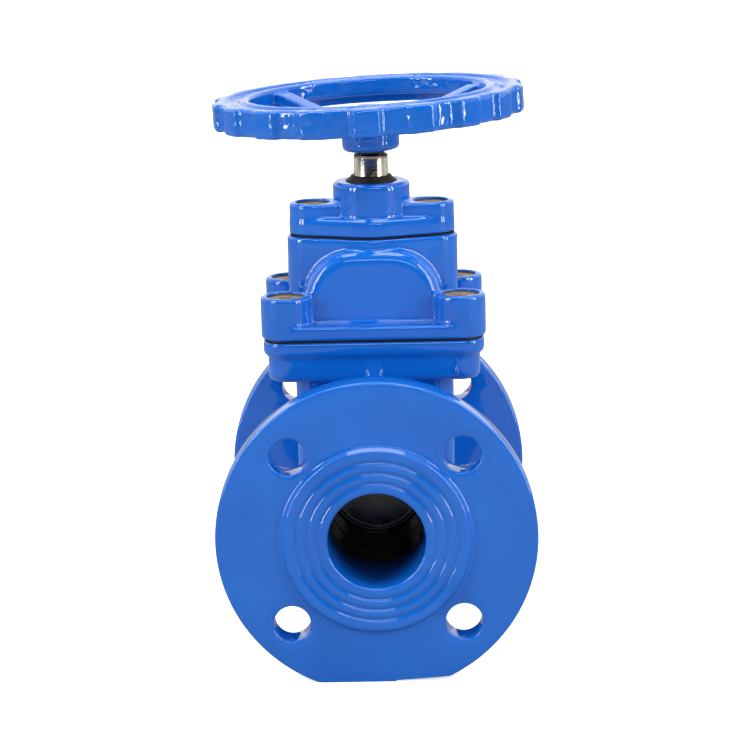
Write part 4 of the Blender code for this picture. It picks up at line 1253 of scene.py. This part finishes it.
@dataclass
class Handwheel:
    """Cast wheel with a scalloped rim, three sloping spokes and a hub, sitting askew on its square."""

    rim_z: tuple[float, float] = (280.7 * MM, 295.2 * MM)
    outer_r: float = 81.5 * MM
    inner_r: float = 62 * MM
    lobes: int = 18
    lobe_depth: float = 2.7 * MM
    lobe_phase: float = 10.0
    lobe_half: float = 5.7
    channel_r: tuple[float, float] = (66 * MM, 75 * MM)
    channel_depth: float = 1.9 * MM
    web_z: float = 285.5 * MM
    skirt_r: float = 71 * MM
    hub_r: float = 15.1 * MM
    hub_z: tuple[float, float] = (264.2 * MM, 279.5 * MM)
    spoke_angles: tuple[float, ...] = (20, 140, 260)
    square_half: float = 7.8 * MM

    def rim(self) -> bpy.types.Object:
        """Spins the rim's section, then draws its outer columns in between the lobes."""
        low, high = self.rim_z
        floor = high - self.channel_depth
        c_in, c_out = self.channel_r
        profile: Profile = arc(self.inner_r + 1.5 * MM, self.web_z + 1.5 * MM, 1.5 * MM, 180, 270, 3)
        profile += [(self.skirt_r - MM, self.web_z), (self.skirt_r, low + 0.4 * MM),
                    (self.skirt_r + 0.4 * MM, low)]
        profile += arc(self.outer_r - 1.5 * MM, low + 1.5 * MM, 1.5 * MM, 270, 360, 3)
        profile += arc(self.outer_r - 1.5 * MM, high - 1.5 * MM, 1.5 * MM, 0, 90, 3)
        profile += [(c_out, high), (c_out - 0.9 * MM, floor), (c_in + 0.9 * MM, floor), (c_in, high)]
        profile += arc(self.inner_r + 1.5 * MM, high - 1.5 * MM, 1.5 * MM, 90, 180, 3)
        rim = spun("wheel_rim", profile, steps=self.lobes * 14)
        self.draw_in(rim, self.lobe_half, self.lobe_depth * 0.75)
        self.draw_in(rim, self.lobe_half + 0.9, self.lobe_depth * 0.25)
        return rim

    def draw_in(self, rim: bpy.types.Object, beyond: float, depth: float) -> None:
        """Scales the rim's outer vertices inwards wherever they are further than an angle from a lobe.

        Args:
            rim: the rim.
            beyond: angle in degrees from a lobe's middle.
            depth: how far to draw in.
        """
        activate(rim)
        bpy.ops.object.mode_set(mode="EDIT")
        bpy.ops.mesh.select_all(action="DESELECT")
        mesh = bmesh.from_edit_mesh(rim.data)
        pitch = 360 / self.lobes
        for vert in mesh.verts:
            turn = (math.degrees(math.atan2(vert.co.y, vert.co.x)) - self.lobe_phase) % pitch
            away = min(turn, pitch - turn)
            outer = vert.co.xy.length > self.channel_r[1] + 1.5 * MM
            vert.select_set(outer and away > beyond)
        bmesh.update_edit_mesh(rim.data)
        share = 1 - depth / self.outer_r
        bpy.ops.transform.resize(value=(share, share, 1), center_override=(0, 0, 0))
        bpy.ops.object.mode_set(mode="OBJECT")

    def spoke(self, angle: float) -> bpy.types.Object:
        """Sloping bar with a flat top and a slightly wider ledge along its underside."""
        stations = ((self.inner_r + 2 * MM, 293.0), (self.inner_r - 4 * MM, 292.4),
                    (self.hub_r + 7 * MM, 280.3), (self.hub_r - 3 * MM, 278.9))
        spans = []
        for half, top_drop, bottom_drop in ((5.2, 0.0, 5.4), (6.1, 5.0, 7.0)):
            def slab(r: float, top: float) -> bpy.types.Object:
                """Thin upright slice of the bar."""
                return block("spoke", (r - 0.2 * MM, r + 0.2 * MM), (-half * MM, half * MM),
                             ((top - bottom_drop) * MM, (top - top_drop) * MM))

            for (r0, z0), (r1, z1) in zip(stations, stations[1:]):
                spans.append(hull("spoke", [slab(r0, z0), slab(r1, z1)]))
        bar = joined("wheel_spoke", spans)
        bar.rotation_euler = (0, 0, math.radians(angle))
        apply_place(bar)
        return bar

    def marks(self) -> list[bpy.types.Object]:
        """Plain raised arcs in the rim's channel, in place of the relief that is cast there."""
        middle = (self.channel_r[0] + self.channel_r[1]) / 2
        floor = self.rim_z[1] - self.channel_depth - 0.6 * MM
        made = []
        for start, sweep in ((35, 40), (95, 26), (155, 40), (215, 26), (275, 40), (335, 26)):
            section: Profile = [(middle - 1.3 * MM, floor), (middle + 1.3 * MM, floor),
                                (middle + 0.9 * MM, floor + 1.7 * MM), (middle - 0.9 * MM, floor + 1.7 * MM)]
            mark = spun("wheel_mark", section, steps=16, angle=math.radians(sweep))
            mark.rotation_euler = (0, 0, math.radians(start))
            apply_place(mark)
            made.append(mark)
        return made

    def build(self, finishes: Finishes) -> None:
        """Fuses rim, spokes, hub and marks, broaches the square, softens and paints the wheel."""
        hub = rod("wheel_hub", self.hub_r, *self.hub_z, segments=64)
        soften_ends(hub, Axis.STEM, 2.5 * MM, 4, lambda z: z < self.hub_z[0] + MM)
        pieces = [self.rim(), hub] + [self.spoke(angle) for angle in self.spoke_angles] + self.marks()
        wheel = joined("handwheel_casting", pieces)
        cast(wheel, 0.6 * MM, 4)
        hole = self.square_half
        cut_all(wheel, [block("square_hole", (-hole, hole), (-hole, hole),
                              (self.hub_z[0] - MM, self.hub_z[1] + 2 * MM))])
        cast(wheel, 0.6 * MM, 1, keep=0.55, wave=0.4 * MM, wave_mm=5.5)
        pivot = Vector((0, 0, SIZES.wheel_pivot_z))
        wheel.matrix_world = (Matrix.Translation(pivot) @ Matrix.Rotation(-SIZES.wheel_tilt, 4, "Y")
                              @ Matrix.Translation(-pivot))
        apply_place(wheel)
        shade(wheel, 60)
        fit(wheel, finishes.rough_paint, Body.SPINDLE, "blue_epoxy", "handwheel")


# ---------------------------------------------------------------- pieces kept from the frame


def dress_kept_nodes(nodes: dict[str, bpy.types.Object], finishes: Finishes) -> None:
    """Gives the frame's own small and internal pieces their finishes.

    Args:
        nodes: the frame's nodes by name.
        finishes: materials to choose from.
    """
    by_word = {"screw": finishes.zinc, "handwheel_": finishes.zinc, "gasket": finishes.gasket,
               "o_ring": finishes.gasket, "thrust_washer": finishes.brass, "stem_nut": finishes.brass,
               "stem_bush": finishes.nylon, "guide_shoe": finishes.nylon, "wedge_core": finishes.iron}
    for name, node in nodes.items():
        for word, material in by_word.items():
            if word in name and not node.hide_render:
                node.data.materials.clear()
                node.data.materials.append(material)
                LOG.info("%s dressed in %s", name, material.name)


# ---------------------------------------------------------------- studio


@dataclass
class Studio:
    """Paper sweep, soft lights and the camera."""

    camera_place: Vector = Vector((14.57 * MM, -1275.4 * MM, 437.05 * MM))
    camera_target: Vector = Vector((-0.1 * MM, 0, 142.5 * MM))
    camera_roll: float = math.radians(-1.2)
    lens: float = 117.0
    around: tuple[float, float] = (0.05, 1.1)

    def floor(self) -> None:
        """Lays a wide pale floor under the feet."""
        deselect_all()
        bpy.ops.mesh.primitive_plane_add(size=40, location=(0, 0, -0.02 * MM))
        sweep = bpy.context.object
        sweep.name = "studio_floor"
        apply_place(sweep)
        sweep.data.materials.append(StudioFloor().build())

    def world(self) -> None:
        """White surroundings whose light comes mostly from behind and from the sides, as in a light tent
        with a dark opening for the camera."""
        made = bpy.data.worlds.new("studio")
        made.use_nodes = True
        tree = made.node_tree
        back = tree.nodes["Background"]
        back.inputs["Color"].default_value = linear("#ffffff")
        place = add_node(tree, "ShaderNodeTexCoord")
        parts = add_node(tree, "ShaderNodeSeparateXYZ", links={0: place.outputs["Generated"]})
        tent = fitted(tree, parts.outputs["Y"], *self.around, -0.75, 0.3)
        seen = add_node(tree, "ShaderNodeLightPath").outputs["Is Camera Ray"]
        power = add_node(tree, "ShaderNodeMix", {3: 1.0}, {0: seen, 2: tent})
        tree.links.new(power.outputs[0], back.inputs["Strength"])
        bpy.context.scene.world = made

    def softbox(self, name: str, place: Vector, target: Vector, size: tuple[float, float],
                watts: float) -> None:
        """Hangs a rectangular soft light.

        Args:
            name: name of the light.
            place: where it hangs.
            target: point that it faces.
            size: its width and height in metres.
            watts: its power.
        """
        data = bpy.data.lights.new(name, "AREA")
        data.shape = "RECTANGLE"
        data.size, data.size_y = size
        data.energy = watts
        light = bpy.data.objects.new(name, data)
        light.location = place
        light.rotation_mode = "QUATERNION"
        light.rotation_quaternion = (target - place).to_track_quat("-Z", "Y")
        bpy.context.scene.collection.objects.link(light)

    def camera(self) -> None:
        """Sets up the camera, rolled a little as it was held."""
        data = bpy.data.cameras.new("studio_camera")
        data.lens = self.lens
        data.clip_start, data.clip_end = 0.05, 60
        camera = bpy.data.objects.new("studio_camera", data)
        camera.location = self.camera_place
        camera.rotation_mode = "QUATERNION"
        aim = (self.camera_target - self.camera_place).to_track_quat("-Z", "Y")
        camera.rotation_quaternion = aim @ Quaternion((0, 0, 1), self.camera_roll)
        bpy.context.scene.collection.objects.link(camera)
        bpy.context.scene.camera = camera

    def build(self) -> None:
        """Builds the whole studio."""
        self.floor()
        self.world()
        middle = Vector((0, 0, 0.15))
        for name, x, y in (("strip_left", -1.55, -0.72), ("strip_left_front", -1.38, -1.05),
                           ("strip_right", 1.55, -0.62), ("strip_right_front", 1.38, -0.98)):
            self.softbox(name, Vector((x, y, 0.87)), Vector((0, 0, 0.87)), (0.13, 1.6), 10.5)
        self.softbox("softbox_top", Vector((0, -0.1, 1.9)), middle, (1.5, 0.8), 17)
        self.softbox("softbox_front", Vector((0.25, -1.8, 1.1)), middle, (1.3, 0.2), 6)
        self.camera()
        bpy.context.scene.view_settings.view_transform = "Standard"


def main() -> None:
    """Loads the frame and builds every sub-assembly."""
    logging.basicConfig(level=logging.INFO, format="%(name)s %(message)s")
    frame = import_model()
    finishes = Finishes.build()

    PipeFlange("inlet_flange", -1).build(finishes)
    PipeFlange("outlet_flange", 1).build(finishes)
    BodyCasting().build(finishes)
    BonnetCasting().build(finishes)
    GlandCover().build(finishes)
    for number, (x, y) in enumerate(SIZES.bonnet_screws(), 1):
        WaxPlug(f"bonnet_wax_plug_{number}", x, y, SIZES.counterbore_r - 0.1 * MM, 186 * MM,
                SIZES.boss_top_z - 0.3 * MM, (0.1 + 0.12 * number) * MM).build(finishes)
    for number, (x, y) in enumerate(SIZES.gland_screws(), 1):
        WaxPlug(f"gland_wax_plug_{number}", x, y, SIZES.gland_counterbore_r - 0.1 * MM, 234.2 * MM,
                SIZES.gland_bar_top_z - 0.3 * MM, 0.3 * number * MM).build(finishes)
    Stem().build(finishes)
    DustWiper().build(finishes)
    GateRubber().build(finishes)
    Handwheel().build(finishes)
    dress_kept_nodes(frame["nodes"], finishes)
    Studio().build()


if __name__ == "__main__":
    main()
